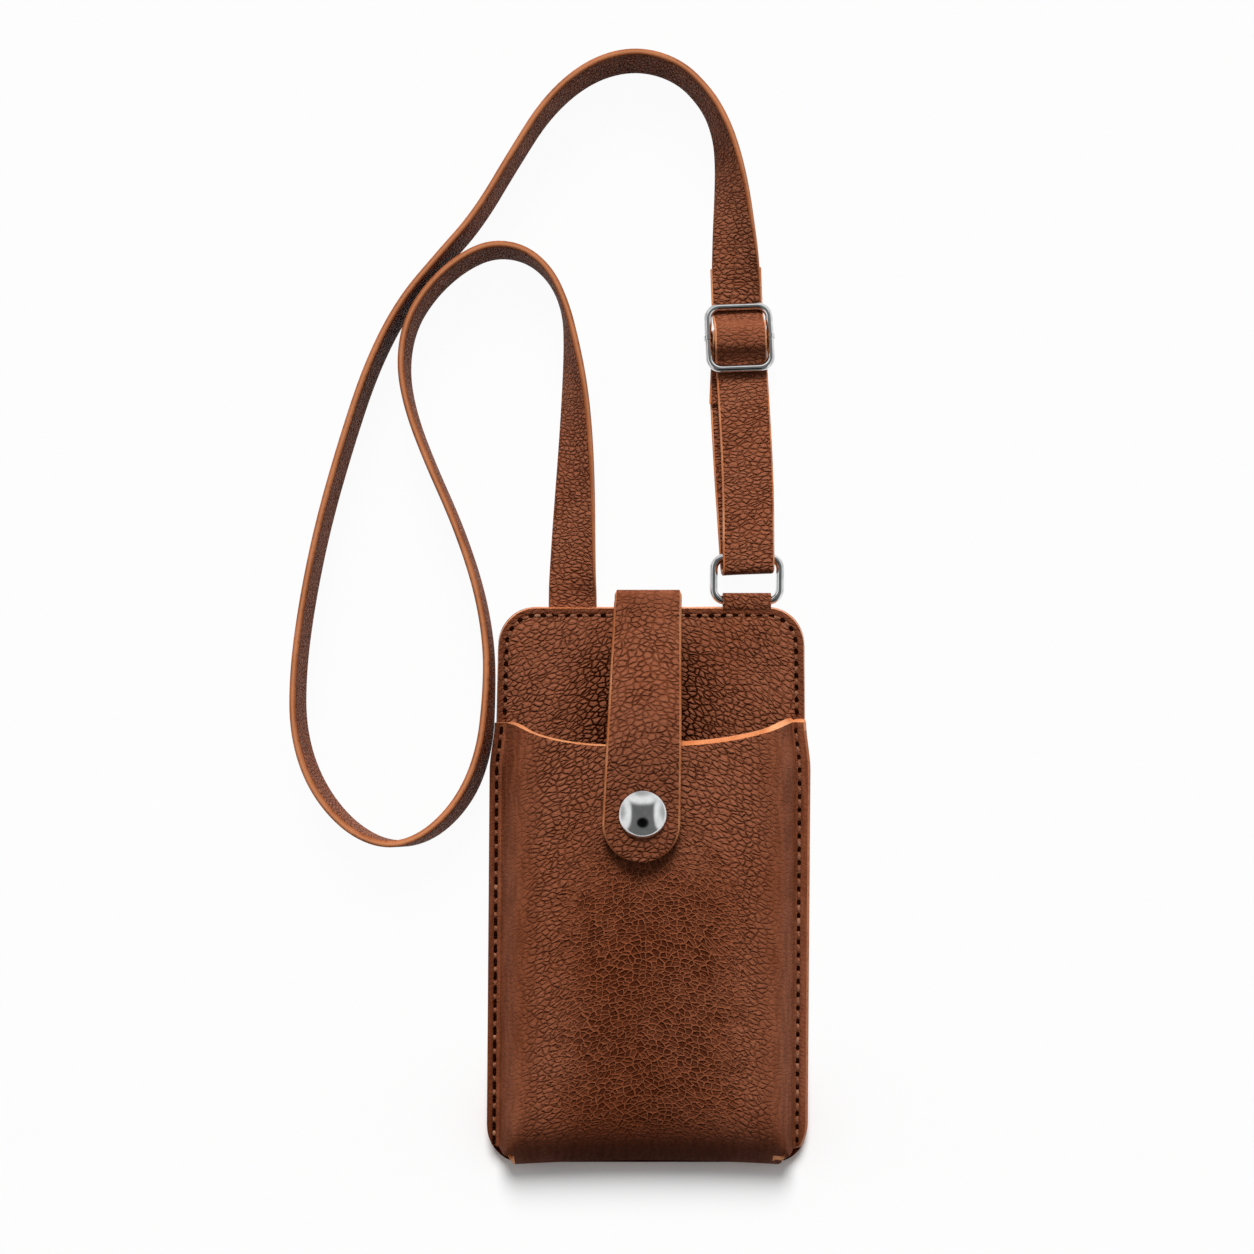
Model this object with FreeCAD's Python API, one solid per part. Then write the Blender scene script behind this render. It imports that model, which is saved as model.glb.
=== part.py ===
import FreeCAD, Part
import math
import os

os.makedirs("parts", exist_ok=True)
Vector = FreeCAD.Vector

# The pouch lies on its back. X points to its right, Y to its top edge and Z up, out of its front.
# The origin is the middle of the back face. All lengths are millimetres.

# Back and facing panels
pouch_height = 178.0
top_width = 98.0
bottom_width = 102.0
top_corner_radius = 12.0
bottom_corner_radius = 8.0
back_thickness = 1.5
facing_thickness = 2.0

# Leather ends that are pared thin and caught between the two panels
pared_thickness = 1.0
caught_length = 14.0
recess_slip = 0.2

# Front pocket, moulded from one piece with its flanges
pocket_wall = 1.5
pocket_depth = 16.0
mouth_below_top = 36.5
scallop_width = 86.0
scallop_depth = 6.5
flange_width = 4.4
side_run = 10.0
bottom_run = 23.0
bottom_flange = 1.2
side_shoulder_radius = 8.0
bottom_shoulder_radius = 12.0

# Closure tab
tab_thickness = 1.6
tab_top_width = 20.0
tab_end_width = 22.6
tab_centre = -0.6
tab_lean = 2.4
tab_reach = 78.0
tab_standoff = 3.2
tab_ramp = 46.0
tab_bend_radius = 14.0
fold_radius = 2.2
fold_start = 2.4

# Snap fastener
snap_from_tip = 14.4
cap_diameter = 15.0
cap_height = 4.2
cap_rim = 0.6
rivet_diameter = 3.4
rivet_clearance = 0.15
socket_diameter = 10.6
socket_height = 2.4
socket_web = 0.7
socket_bevel = 0.5
stud_diameter = 9.6
stud_base = 0.5
nipple_diameter = 4.0
nipple_tip_diameter = 3.0
nipple_height = 1.6
nipple_clearance = 0.7
post_diameter = 9.0
post_flange = 0.6

# Strap
strap_width = 15.5
strap_thickness = 2.1
strap_anchor = -24.8
strap_gap = 0.1

# Ring and its leather loop
ring_centre = 31.0
ring_width = 23.3
ring_height = 16.0
ring_wire = 2.6
ring_corner_radius = 5.0
loop_width = 15.3
loop_thickness = 0.8
loop_clearance = 0.2
ring_fold_clearance = 0.45

# Slider
slider_above_ring = 70.0
slider_width = 21.9
slider_height = 23.0
slider_wire = 2.4
slider_corner_radius = 5.0
slider_bar_wire = 2.0
slider_collar = 0.35
slider_collar_length = 1.3
slider_clearance = 0.2
leg_lean_degrees = 2.1
strap_end_thickness = 1.0
strap_end_length = 20.0
bight_half_length = 17.0
bight_crest_half = 2.5
bight_foot = 7.4
bight_drop = 8.0
bight_bend_radius = 6.4
bight_crest_radius = 4.0
end_loop_foot = 8.0
end_loop_bend_radius = 12.0
ring_fold_length = 40.0
front_run_start = 8.0
front_bend_radius = 60.0

# Thread
seam_inset = 3.4
side_stitch_pitch = 4.2
top_stitch_pitch = 3.8
stitch_length_share = 0.72
stitch_width = 0.85
stitch_height = 0.4
stitch_crown_share = 0.5
seam_end_margin = 3.0
strap_stitch_pitch = 3.2
strap_seam_margin = 2.0

overrun = 5.0

# The strap's route on the table, from its caught end, measured from the pouch's middle line and top edge.
# Along the first and last stretches it turns from flat to standing on its edge; the third figure is degrees.
anchor_route = [
    (-24.8, 8, 4),
    (-24.5, 20, 14),
    (-23.9, 37, 33),
    (-23.6, 54, 48),
    (-23.9, 69, 62),
    (-25.0, 83, 77),
    (-26.8, 95, 90),
]
shoulder_route = [
    (-26.8, 95), (-31.4, 105.2), (-39.4, 112), (-49.8, 113.5), (-59.8, 109), (-69.2, 100.6), (-76.2, 89.6),
    (-78.4, 76), (-76, 62), (-70, 46), (-61, 26), (-54.2, 6), (-51, -12), (-51, -28), (-52.4, -45.5),
    (-58.4, -61), (-69.5, -72.6), (-82, -76.2), (-95, -70.4), (-106, -57), (-111.6, -40), (-111.6, -20.5),
    (-108.6, 2), (-103.4, 27), (-95.6, 54), (-88, 76.5), (-78.4, 95.2), (-66, 109.8), (-54.6, 122.6),
    (-43.2, 141.8), (-32.4, 158.8), (-19, 170), (-4.6, 173.8), (9.8, 169.6), (20, 158.4),
]
slider_route = [
    (27.2, 112, 25),
    (26.5, 122, 42),
    (25.8, 132, 55),
    (24.1, 143, 68),
    (22.2, 152, 81),
    (20, 158.4, 90),
]
bend_share = 0.45

# Heights and places that follow from the sizes
top_edge = pouch_height / 2
mouth_line = top_edge - mouth_below_top
table_to_facing = back_thickness + facing_thickness
caught_height = back_thickness + pared_thickness / 2
pocket_front = table_to_facing + pocket_depth
tab_underside = pocket_front + tab_standoff
tab_flat_height = tab_underside + tab_thickness / 2
hinge_y = top_edge + fold_start
hinge_z = caught_height + fold_radius
tab_tip = hinge_y - tab_reach - fold_start
snap_y = tab_tip + snap_from_tip
snap_x = tab_centre - tab_lean * (hinge_y - snap_y) / (hinge_y - tab_tip)

loop_bore = ring_wire / 2 + loop_clearance
loop_outer = loop_bore + loop_thickness
ring_bar_y = top_edge + loop_outer + recess_slip
ring_bar_z = loop_outer + recess_slip
ring_rise = ring_height - ring_wire
ring_fold_radius = ring_wire / 2 + ring_fold_clearance + strap_thickness / 2
ring_top_z = strap_thickness / 2 + ring_fold_radius
ring_tilt = math.degrees(math.asin((ring_top_z - ring_bar_z) / ring_rise))
ring_top_y = ring_bar_y + ring_rise * math.cos(math.radians(ring_tilt))

layer_end = strap_thickness + strap_gap
layer_front = layer_end + strap_end_thickness + strap_gap
front_z = layer_front + strap_thickness / 2
slider_rise = slider_height - slider_wire
front_rise = ring_top_z + ring_fold_radius - front_z
front_slope = front_rise / (slider_above_ring - bight_drop - front_run_start)
behind_bar_z = front_z + front_slope * (slider_rise / 2 - bight_drop)
slider_low_z = behind_bar_z + (strap_thickness + slider_wire) / 2 + slider_clearance
slider_high_z = strap_thickness + slider_clearance + slider_wire / 2
slider_bar_z = (slider_low_z + slider_high_z) / 2
slider_tilt = math.degrees(math.asin((slider_low_z - slider_high_z) / slider_rise))
wrap_radius = slider_bar_wire / 2 + slider_clearance + strap_end_thickness / 2
crest_z = slider_bar_z + wrap_radius + strap_end_thickness / 2 + slider_clearance + strap_thickness / 2


def heading(start, end):
    way = end - start
    return way.normalize()


def turn_angle(first, second):
    return math.atan2(first.cross(second).z, first.dot(second))


def left_of(way):
    return Vector(-way.y, way.x, 0)


def flat_points(pairs):
    return [Vector(a, b, 0) for a, b in pairs]


def line_edges(start, end):
    if start.distanceToPoint(end) < Part.Precision.confusion() * strap_width:
        return []
    return [Part.LineSegment(start, end).toShape()]


def side_edges(points, radii, side):
    # Straight runs joined by tangent arcs, moved to the left of the path by side.
    edges = []
    last = points[0] + left_of(heading(points[0], points[1])) * side
    for before, at, after, radius in zip(points, points[1:], points[2:], radii):
        come = heading(before, at)
        go = heading(at, after)
        angle = turn_angle(come, go)
        reach = radius * math.tan(abs(angle) / 2)
        way = math.copysign(1, angle)
        centre = at - come * reach + left_of(come) * (radius * way)
        enter = at - come * reach + left_of(come) * side
        leave = at + go * reach + left_of(go) * side
        middle = centre + heading(centre, at) * (radius - side * way)
        edges += line_edges(last, enter)
        edges.append(Part.Arc(enter, middle, leave).toShape())
        last = leave
    edges += line_edges(last, points[-1] + left_of(heading(points[-2], points[-1])) * side)
    return edges


def ribbon(points, radii, thickness, width):
    # A strip of leather seen on its edge in the XY plane, with its width along Z and its middle at zero.
    left = side_edges(points, radii, thickness / 2)
    right = side_edges(points, radii, -thickness / 2)
    first = Part.sortEdges(left)[0]
    second = Part.sortEdges(right)[0]
    left_ends = [left[0].firstVertex().Point, left[-1].lastVertex().Point]
    right_ends = [right[0].firstVertex().Point, right[-1].lastVertex().Point]
    caps = [Part.LineSegment(a, b).toShape() for a, b in zip(left_ends, right_ends)]
    outline = Part.Wire(Part.sortEdges(first + second + caps)[0])
    strip = Part.Face(outline).extrude(Vector(0, 0, width))
    strip.translate(Vector(0, 0, -width / 2))
    return strip


def large_bends(points):
    # The largest arcs that the runs leave room for.
    radii = []
    for before, at, after in zip(points, points[1:], points[2:]):
        angle = abs(turn_angle(heading(before, at), heading(at, after)))
        shorter = min(before.distanceToPoint(at), at.distanceToPoint(after))
        radii.append(bend_share * shorter / math.tan(angle / 2))
    return radii


def closed_outline(points, radii, height):
    # A closed outline of straight sides with rounded corners, as a face at a height.
    ring = [points[-1]] + points + [points[0]]
    edges = []
    last = None
    for before, at, after, radius in zip(ring, points, points[1:] + points[:1], radii):
        come = heading(before, at)
        go = heading(at, after)
        angle = turn_angle(come, go)
        reach = radius * math.tan(abs(angle) / 2)
        centre = at - come * reach + left_of(come) * math.copysign(radius, angle)
        enter = at - come * reach
        leave = at + go * reach
        if last is None:
            first = enter
        else:
            edges += line_edges(last, enter)
        edges.append(Part.Arc(enter, centre + heading(centre, at) * radius, leave).toShape())
        last = leave
    edges += line_edges(last, first)
    face = Part.Face(Part.Wire(edges))
    face.translate(Vector(0, 0, height))
    return face


def on_side(shape, x, y):
    # Stand a shape drawn in the XY plane up, so that its X runs along Y, its Y along Z and its Z along X.
    upright = shape.copy()
    place = FreeCAD.Placement(Vector(x, y, 0), FreeCAD.Rotation(Vector(1, 1, 1), 120))
    upright.Placement = place.multiply(upright.Placement)
    return upright


def in_leg(shape):
    # Set a shape drawn along the strap's last leg, with zero at the ring's upper bar, in its place.
    placed = shape.copy()
    turn = FreeCAD.Rotation(Vector(0, 0, 1), leg_lean_degrees)
    place = FreeCAD.Placement(Vector(ring_centre, ring_top_y, 0), turn)
    placed.Placement = place.multiply(placed.Placement)
    return placed


def half_width(y):
    share = (top_edge - y) / pouch_height
    return (top_width + (bottom_width - top_width) * share) / 2


def panel_face(height, inset):
    top = top_edge - inset
    low = -top_edge + inset
    corners = flat_points([
        (-half_width(low) + inset, low),
        (half_width(low) - inset, low),
        (half_width(top) - inset, top),
        (-half_width(top) + inset, top),
    ])
    radii = [bottom_corner_radius - inset] * 2 + [top_corner_radius - inset] * 2
    return closed_outline(corners, radii, height)


def box_between(low, high):
    size = high - low
    return Part.makeBox(size.x, size.y, size.z, low)


def recess(x, width):
    # Room in the facing panel's underside for a pared end.
    half = width / 2 + recess_slip
    low = Vector(x - half, top_edge - caught_length - recess_slip, back_thickness)
    high = Vector(x + half, top_edge + overrun, back_thickness + pared_thickness)
    return box_between(low, high)


def back_panel():
    return panel_face(0, 0).extrude(Vector(0, 0, back_thickness))


def facing_panel():
    panel = panel_face(back_thickness, 0).extrude(Vector(0, 0, facing_thickness))
    for x, width in caught_ends():
        panel = panel.cut(recess(x, width))
    return panel


def caught_ends():
    return [(strap_anchor, strap_width), (tab_centre, tab_top_width), (ring_centre, loop_width)]


def pocket_section(y, inner):
    # The pocket's section across its width: sloping sides, rounded shoulders and a flat front.
    foot = half_width(y) - flange_width
    slant = math.hypot(side_run, pocket_depth) / pocket_depth
    thin = pocket_wall if inner else 0
    below = overrun if inner else 0
    height = pocket_depth - thin
    low = foot - thin * slant + side_run * below / pocket_depth
    high = foot - thin * slant - side_run * height / pocket_depth
    corners = flat_points([(-low, -below), (-high, height), (high, height), (low, -below)])
    radii = [side_shoulder_radius - thin] * 2
    edges = side_edges(corners, radii, 0)
    edges.append(Part.LineSegment(corners[-1], corners[0]).toShape())
    wire = Part.Wire(edges)
    wire.rotate(Vector(0, 0, 0), Vector(1, 0, 0), 90)
    wire.translate(Vector(0, y, table_to_facing))
    return wire


def pocket_side(inner):
    # The pocket's outline from its side: a long slope at the bottom, a rounded shoulder and a flat front.
    slant = math.hypot(bottom_run, pocket_depth) / pocket_depth
    thin = pocket_wall if inner else 0
    below = overrun if inner else 0
    height = pocket_depth - thin
    foot = -top_edge + bottom_flange + thin * slant
    corners = flat_points([
        (foot - bottom_run * below / pocket_depth, -below),
        (foot + bottom_run * height / pocket_depth, height),
        (top_edge, height),
        (top_edge, -below),
    ])
    edges = side_edges(corners[:3], [bottom_shoulder_radius - thin], 0)
    edges.append(Part.LineSegment(corners[2], corners[3]).toShape())
    edges.append(Part.LineSegment(corners[3], corners[0]).toShape())
    profile = Part.Face(Part.Wire(edges))
    profile = on_side(profile, -bottom_width, 0)
    profile.translate(Vector(0, 0, table_to_facing))
    return profile.extrude(Vector(bottom_width * 2, 0, 0))


def pocket_body(inner):
    sections = [pocket_section(y, inner) for y in (-top_edge - overrun, top_edge)]
    return Part.makeLoft(sections, True, True).common(pocket_side(inner))


def above_mouth():
    # What lies above the pocket's scalloped mouth.
    half = scallop_width / 2
    ends = [Vector(-half, mouth_line, 0), Vector(half, mouth_line, 0)]
    corners = flat_points([
        (bottom_width, mouth_line),
        (bottom_width, pouch_height),
        (-bottom_width, pouch_height),
        (-bottom_width, mouth_line),
    ])
    edges = [Part.Arc(ends[0], Vector(0, mouth_line - scallop_depth, 0), ends[1]).toShape()]
    for start, end in zip([ends[1]] + corners, corners + [ends[0]]):
        edges.append(Part.LineSegment(start, end).toShape())
    return Part.Face(Part.Wire(edges)).extrude(Vector(0, 0, pouch_height))


def upright_cylinder(diameter, height, x, y, z):
    return Part.makeCylinder(diameter / 2, height, Vector(x, y, z))


def rivet_hole(z, height):
    return upright_cylinder(rivet_diameter + rivet_clearance * 2, height, snap_x, snap_y, z)


def front_pocket():
    plate = panel_face(table_to_facing, 0).extrude(Vector(0, 0, pocket_wall))
    pocket = plate.fuse(pocket_body(False)).cut(pocket_body(True)).cut(above_mouth())
    pocket = pocket.cut(rivet_hole(table_to_facing, pocket_depth * 2))
    return pocket.removeSplitter()


def tab_outline():
    # The tab from above: a long taper with a half-round end, leaning a little to one side.
    end_radius = tab_end_width / 2
    end_centre = tab_centre - tab_lean
    end_y = tab_tip + end_radius
    top = hinge_y + fold_radius + tab_thickness
    half = tab_top_width / 2
    start = Vector(end_centre - end_radius, end_y, 0)
    finish = Vector(end_centre + end_radius, end_y, 0)
    corners = [Vector(tab_centre + half, top, 0), Vector(tab_centre - half, top, 0)]
    edges = [Part.Arc(start, Vector(end_centre, tab_tip, 0), finish).toShape()]
    for first, second in zip([finish] + corners, corners + [start]):
        edges.append(Part.LineSegment(first, second).toShape())
    return Part.Face(Part.Wire(edges)).extrude(Vector(0, 0, pouch_height))


def closure_tab():
    start_z = hinge_z + fold_radius
    points = flat_points([
        (hinge_y, start_z),
        (hinge_y - fold_start * 2, start_z),
        (hinge_y - tab_ramp, tab_flat_height),
        (tab_tip - overrun, tab_flat_height),
    ])
    strip = ribbon(points, [tab_bend_radius] * 2, tab_thickness, tab_end_width * 2)
    flap = on_side(strip, tab_centre, 0).common(tab_outline())
    return flap.cut(rivet_hole(tab_underside - overrun, overrun * 3))


def tab_fold():
    points = flat_points([
        (top_edge, caught_height),
        (hinge_y + fold_radius, caught_height),
        (hinge_y + fold_radius, hinge_z + fold_radius),
        (hinge_y, hinge_z + fold_radius),
    ])
    return on_side(ribbon(points, [fold_radius] * 2, tab_thickness, tab_top_width), tab_centre, 0)


def caught_tail(x, width):
    low = Vector(x - width / 2, top_edge - caught_length, back_thickness)
    high = Vector(x + width / 2, top_edge, back_thickness + pared_thickness)
    return box_between(low, high)


def tab_root():
    return caught_tail(tab_centre, tab_top_width)


def revolved(profile, x, y, z):
    # A turned piece: pairs of radius and height, closed round its axis.
    points = [Vector(r, 0, h) for r, h in profile]
    wire = Part.makePolygon(points + points[:1])
    piece = Part.Face(wire).revolve(Vector(0, 0, 0), Vector(0, 0, 1), 360)
    piece.translate(Vector(x, y, z))
    return piece


def snap_cap():
    # A domed cap with a rolled rim, and the rivet that holds it through the tab.
    radius = cap_diameter / 2
    rise = cap_height - cap_rim
    start = Vector(radius, 0, cap_rim)
    crown = Vector(0, 0, cap_height)
    ball = (radius * radius + rise * rise) / (rise * 2)
    half_way = math.asin(radius / ball) / 2
    middle = Vector(ball * math.sin(half_way), 0, cap_height - ball * (1 - math.cos(half_way)))
    rivet = rivet_diameter / 2
    foot = -tab_thickness - socket_web
    outline = [crown, Vector(0, 0, foot), Vector(rivet, 0, foot), Vector(rivet, 0, 0), Vector(radius, 0, 0), start]
    edges = [Part.LineSegment(a, b).toShape() for a, b in zip(outline, outline[1:])]
    edges.append(Part.Arc(start, middle, crown).toShape())
    cap = Part.Face(Part.Wire(edges)).revolve(Vector(0, 0, 0), Vector(0, 0, 1), 360)
    cap.translate(Vector(snap_x, snap_y, tab_underside + tab_thickness))
    return cap


def snap_socket():
    # The ring under the tab that clips over the stud.
    outer = socket_diameter / 2
    hole = rivet_diameter / 2 + rivet_clearance
    bore = nipple_diameter / 2 + nipple_clearance
    profile = [
        (hole, 0),
        (outer, 0),
        (outer, -socket_height + socket_bevel),
        (outer - socket_bevel, -socket_height),
        (bore, -socket_height),
        (bore, -socket_web),
        (hole, -socket_web),
    ]
    return revolved(profile, snap_x, snap_y, tab_underside)


def snap_stud():
    # The stud on the pocket's front, bored for its post.
    outer = stud_diameter / 2
    bore = rivet_diameter / 2 - stud_base
    profile = [
        (bore, 0),
        (outer, 0),
        (outer, stud_base / 2),
        (outer - stud_base, stud_base),
        (nipple_tip_diameter / 2, stud_base),
        (nipple_diameter / 2, stud_base + nipple_height / 2),
        (nipple_tip_diameter / 2, stud_base + nipple_height),
        (bore, stud_base + nipple_height),
    ]
    return revolved(profile, snap_x, snap_y, pocket_front)


def snap_post():
    # The post pressed through the pocket's front from inside, with its wide flange behind the leather.
    shank = rivet_diameter / 2
    tip = shank - stud_base
    profile = [
        (0, -post_flange),
        (post_diameter / 2, -post_flange),
        (post_diameter / 2, 0),
        (shank, 0),
        (shank, pocket_wall),
        (tip, pocket_wall),
        (tip, pocket_wall + stud_base + nipple_height),
        (0, pocket_wall + stud_base + nipple_height),
    ]
    return revolved(profile, snap_x, snap_y, pocket_front - pocket_wall)


def ring_loop():
    # A strip folded round the ring's lower bar, with both its ends caught between the panels.
    across = Vector(1, 0, 0)
    start = Vector(ring_centre - loop_width / 2, ring_bar_y, ring_bar_z)
    eye = Part.makeCylinder(loop_outer, loop_width, start, across)
    low = Vector(start.x, top_edge - caught_length, back_thickness)
    high = Vector(start.x + loop_width, ring_bar_y, back_thickness + pared_thickness)
    bore = Part.makeCylinder(loop_bore, loop_width, start, across)
    return eye.fuse(box_between(low, high)).cut(bore).removeSplitter()


def wire_frame(width, height, wire, corner_radius):
    # A rounded frame of round wire in the XY plane, with its middle at zero.
    x = (width - wire) / 2
    y = (height - wire) / 2
    corners = flat_points([(-x, -y), (x, -y), (x, y), (-x, y)])
    path = closed_outline(corners, [corner_radius - wire / 2] * len(corners), 0).OuterWire
    start = path.Edges[0].firstVertex().Point
    way = path.Edges[0].tangentAt(path.Edges[0].FirstParameter)
    section = Part.Wire(Part.makeCircle(wire / 2, start, way))
    return path.makePipeShell([section], True, True)


def strap_ring():
    ring = wire_frame(ring_width, ring_height, ring_wire, ring_corner_radius)
    ring.translate(Vector(0, ring_rise / 2, 0))
    ring.rotate(Vector(0, 0, 0), Vector(1, 0, 0), ring_tilt)
    ring.translate(Vector(ring_centre, ring_bar_y, ring_bar_z))
    return ring


def in_slider(shape):
    placed = shape.copy()
    placed.rotate(Vector(0, 0, 0), Vector(1, 0, 0), -slider_tilt)
    placed.translate(Vector(0, slider_above_ring, slider_bar_z))
    return in_leg(placed)


def bare_slider_frame():
    return wire_frame(slider_width, slider_height, slider_wire, slider_corner_radius)


def slider_frame():
    return in_slider(bare_slider_frame())


def slider_bar():
    # The centre bar, with a collar at each end that is clenched round the frame's side.
    reach = (slider_width - slider_wire) / 2
    bar = Part.makeCylinder(slider_bar_wire / 2, reach * 2, Vector(-reach, 0, 0), Vector(1, 0, 0))
    for x in (-reach, reach):
        start = Vector(x, -slider_collar_length / 2, 0)
        collar = Part.makeCylinder(slider_wire / 2 + slider_collar, slider_collar_length, start, Vector(0, 1, 0))
        bar = bar.fuse(collar)
    return in_slider(bar.cut(bare_slider_frame()).removeSplitter())


def standing_section(x, y, z, way, roll, thickness):
    # The strap's section at a point: flat at no roll, on its edge with its right side up at 90 degrees.
    angle = math.radians(roll)
    right = Vector(way.y, -way.x, 0)
    along_width = right * math.cos(angle) + Vector(0, 0, 1) * math.sin(angle)
    along_thickness = way.cross(along_width)
    middle = Vector(x, y, z)
    corners = []
    for w, t in ((-1, -1), (1, -1), (1, 1), (-1, 1)):
        corners.append(middle + along_width * (w * strap_width / 2) + along_thickness * (t * thickness / 2))
    return Part.makePolygon(corners + corners[:1])


def resting_height(roll):
    # The height of the strap's middle where its lowest corner touches the table.
    angle = math.radians(roll)
    return (strap_width * math.sin(angle) + strap_thickness * math.cos(angle)) / 2


def twisting_strip(route, first, last_way):
    # A stretch that turns from flat to standing, through one section at each point of its route.
    sections = list(first)
    points = [Vector(x, top_edge + y, 0) for x, y, roll in route]
    for number, (x, y, roll) in enumerate(route):
        if number + 1 < len(route):
            way = heading(points[max(number - 1, 0)], points[number + 1])
        else:
            way = last_way
        place = points[number]
        section = standing_section(place.x, place.y, resting_height(roll), way, roll, strap_thickness)
        sections.append(section)
    return Part.makeLoft(sections, True, True)


def shoulder_points():
    return [Vector(x, top_edge + y, 0) for x, y in shoulder_route]


def strap_anchor_end():
    # The caught tail, pared thin, and the stretch that leaves the top edge flat and comes to stand on its edge.
    up = Vector(0, 1, 0)
    tail = standing_section(strap_anchor, top_edge, caught_height, up, 0, pared_thickness)
    points = shoulder_points()
    strip = twisting_strip(anchor_route, [tail], heading(points[0], points[1]))
    return strip.fuse(caught_tail(strap_anchor, strap_width)).removeSplitter()


def shoulder_strap():
    points = shoulder_points()
    radii = large_bends(points)
    strip = ribbon(points, radii, strap_thickness, strap_width)
    strip.translate(Vector(0, 0, strap_width / 2))
    print("shoulder strap bends:", " ".join("%.0f" % radius for radius in radii))
    print("shoulder strap length: %.0f" % (strip.Volume / (strap_width * strap_thickness)))
    return strip


def leg_direction(along):
    angle = math.radians(leg_lean_degrees)
    return Vector(-math.sin(angle), math.cos(angle), 0) * along


def strap_slider_leg():
    # From the bight's upper end, flat on the table, up to where the strap stands on its edge.
    start = Vector(ring_centre, ring_top_y, 0) + leg_direction(slider_above_ring + bight_half_length)
    way = leg_direction(1)
    first = standing_section(start.x, start.y, strap_thickness / 2, way, 0, strap_thickness)
    points = shoulder_points()
    return twisting_strip(slider_route, [first], heading(points[-1], points[-2]))


def leg_ribbon(pairs, radii, thickness):
    return in_leg(on_side(ribbon(flat_points(pairs), radii, thickness, strap_width), 0, 0))


def front_height(along):
    # The front run slopes from its height at the ring to its height where the bight comes down.
    return front_z + front_slope * (slider_above_ring - bight_drop - along)


def strap_bight():
    # Behind the slider's upper bar, over its centre bar and behind its lower bar.
    middle = slider_above_ring
    pairs = [
        (middle + bight_half_length, strap_thickness / 2),
        (middle + bight_foot, strap_thickness / 2),
        (middle + bight_crest_half, crest_z),
        (middle - bight_crest_half, crest_z),
        (middle - bight_drop, front_z),
        (middle - bight_half_length, front_height(middle - bight_half_length)),
    ]
    radii = [bight_bend_radius, bight_crest_radius, bight_crest_radius, bight_bend_radius]
    return leg_ribbon(pairs, radii, strap_thickness)


def strap_front_run():
    low_end = slider_above_ring - bight_half_length
    pairs = [(along, front_height(along)) for along in (low_end, ring_fold_length)]
    return leg_ribbon(pairs, [], strap_thickness)


def strap_ring_fold():
    # Down to the ring, round its upper bar and back along the table.
    high = ring_top_z + ring_fold_radius
    pairs = [
        (ring_fold_length, front_height(ring_fold_length)),
        (front_run_start, high),
        (-ring_fold_radius, high),
        (-ring_fold_radius, strap_thickness / 2),
        (ring_fold_length, strap_thickness / 2),
    ]
    return leg_ribbon(pairs, [front_bend_radius, ring_fold_radius, ring_fold_radius], strap_thickness)


def end_loop_start():
    return slider_above_ring - strap_end_length


def strap_return_run():
    pairs = [(ring_fold_length, strap_thickness / 2), (end_loop_start(), strap_thickness / 2)]
    return leg_ribbon(pairs, [], strap_thickness)


def tangent_slope(distance, rise, side):
    # The slope of a line from a point that many mm before the bar and below it, touching the wrap round the bar.
    away = math.hypot(distance, rise)
    return math.tan(math.atan2(rise, distance) + side * math.asin(wrap_radius / away))


def strap_end_loop():
    # The pared end: up behind the centre bar, round it and back down on itself.
    middle = slider_above_ring
    lower = strap_thickness - strap_end_thickness / 2
    upper = layer_end + strap_end_thickness / 2
    over = middle + wrap_radius
    low_slope = tangent_slope(end_loop_foot, slider_bar_z - lower, -1)
    high_slope = tangent_slope(end_loop_foot, slider_bar_z - upper, 1)
    span = end_loop_foot + wrap_radius
    pairs = [
        (end_loop_start(), lower),
        (middle - end_loop_foot, lower),
        (over, lower + span * low_slope),
        (over, upper + span * high_slope),
        (middle - end_loop_foot, upper),
        (end_loop_start(), upper),
    ]
    radii = [end_loop_bend_radius, wrap_radius, wrap_radius, end_loop_bend_radius / 2]
    return leg_ribbon(pairs, radii, strap_end_thickness)


def stitch(start, end):
    # One stitch between two holes, with a bevelled crown.
    way = heading(start, end)
    length = start.distanceToPoint(end) * stitch_length_share
    middle = (start + end) / 2
    half = stitch_width / 2
    crown = half * stitch_crown_share
    side = left_of(way)
    up = Vector(0, 0, stitch_height)
    begin = middle - way * (length / 2)
    profile = [begin + side * half, begin - side * half, begin - side * crown + up, begin + side * crown + up]
    return Part.Face(Part.makePolygon(profile + profile[:1])).extrude(way * length)


def stitches(path, pitch):
    count = max(round(path.Length / pitch), 1)
    holes = path.discretize(count + 1)
    return Part.makeCompound([stitch(a, b) for a, b in zip(holes, holes[1:])])


def side_seam(side):
    # Down one flange of the pocket, from its mouth to its bottom corner.
    z = table_to_facing + pocket_wall
    high = mouth_line - seam_end_margin
    low = -top_edge + bottom_corner_radius
    start = Vector(side * (half_width(high) - seam_inset), high, z)
    end = Vector(side * (half_width(low) - seam_inset), low, z)
    return stitches(Part.Wire(Part.LineSegment(start, end).toShape()), side_stitch_pitch)


def top_seam():
    # Up one side of the facing panel, along the top edge and down the other side.
    low = mouth_line + seam_end_margin
    top = top_edge - seam_inset
    corners = flat_points([
        (-half_width(low) + seam_inset, low),
        (-half_width(top) + seam_inset, top),
        (half_width(top) - seam_inset, top),
        (half_width(low) - seam_inset, low),
    ])
    path = Part.Wire(side_edges(corners, [top_corner_radius - seam_inset] * 2, 0))
    path.translate(Vector(0, 0, table_to_facing))
    return stitches(path, top_stitch_pitch)


def strap_end_seam():
    # A row across the pared end, which holds it to the return run below.
    along = end_loop_start() + strap_seam_margin
    half = strap_width / 2 - strap_seam_margin
    z = layer_end + strap_end_thickness
    row = Part.Wire(Part.LineSegment(Vector(-half, along, z), Vector(half, along, z)).toShape())
    return in_leg(stitches(row, strap_stitch_pitch))


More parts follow.
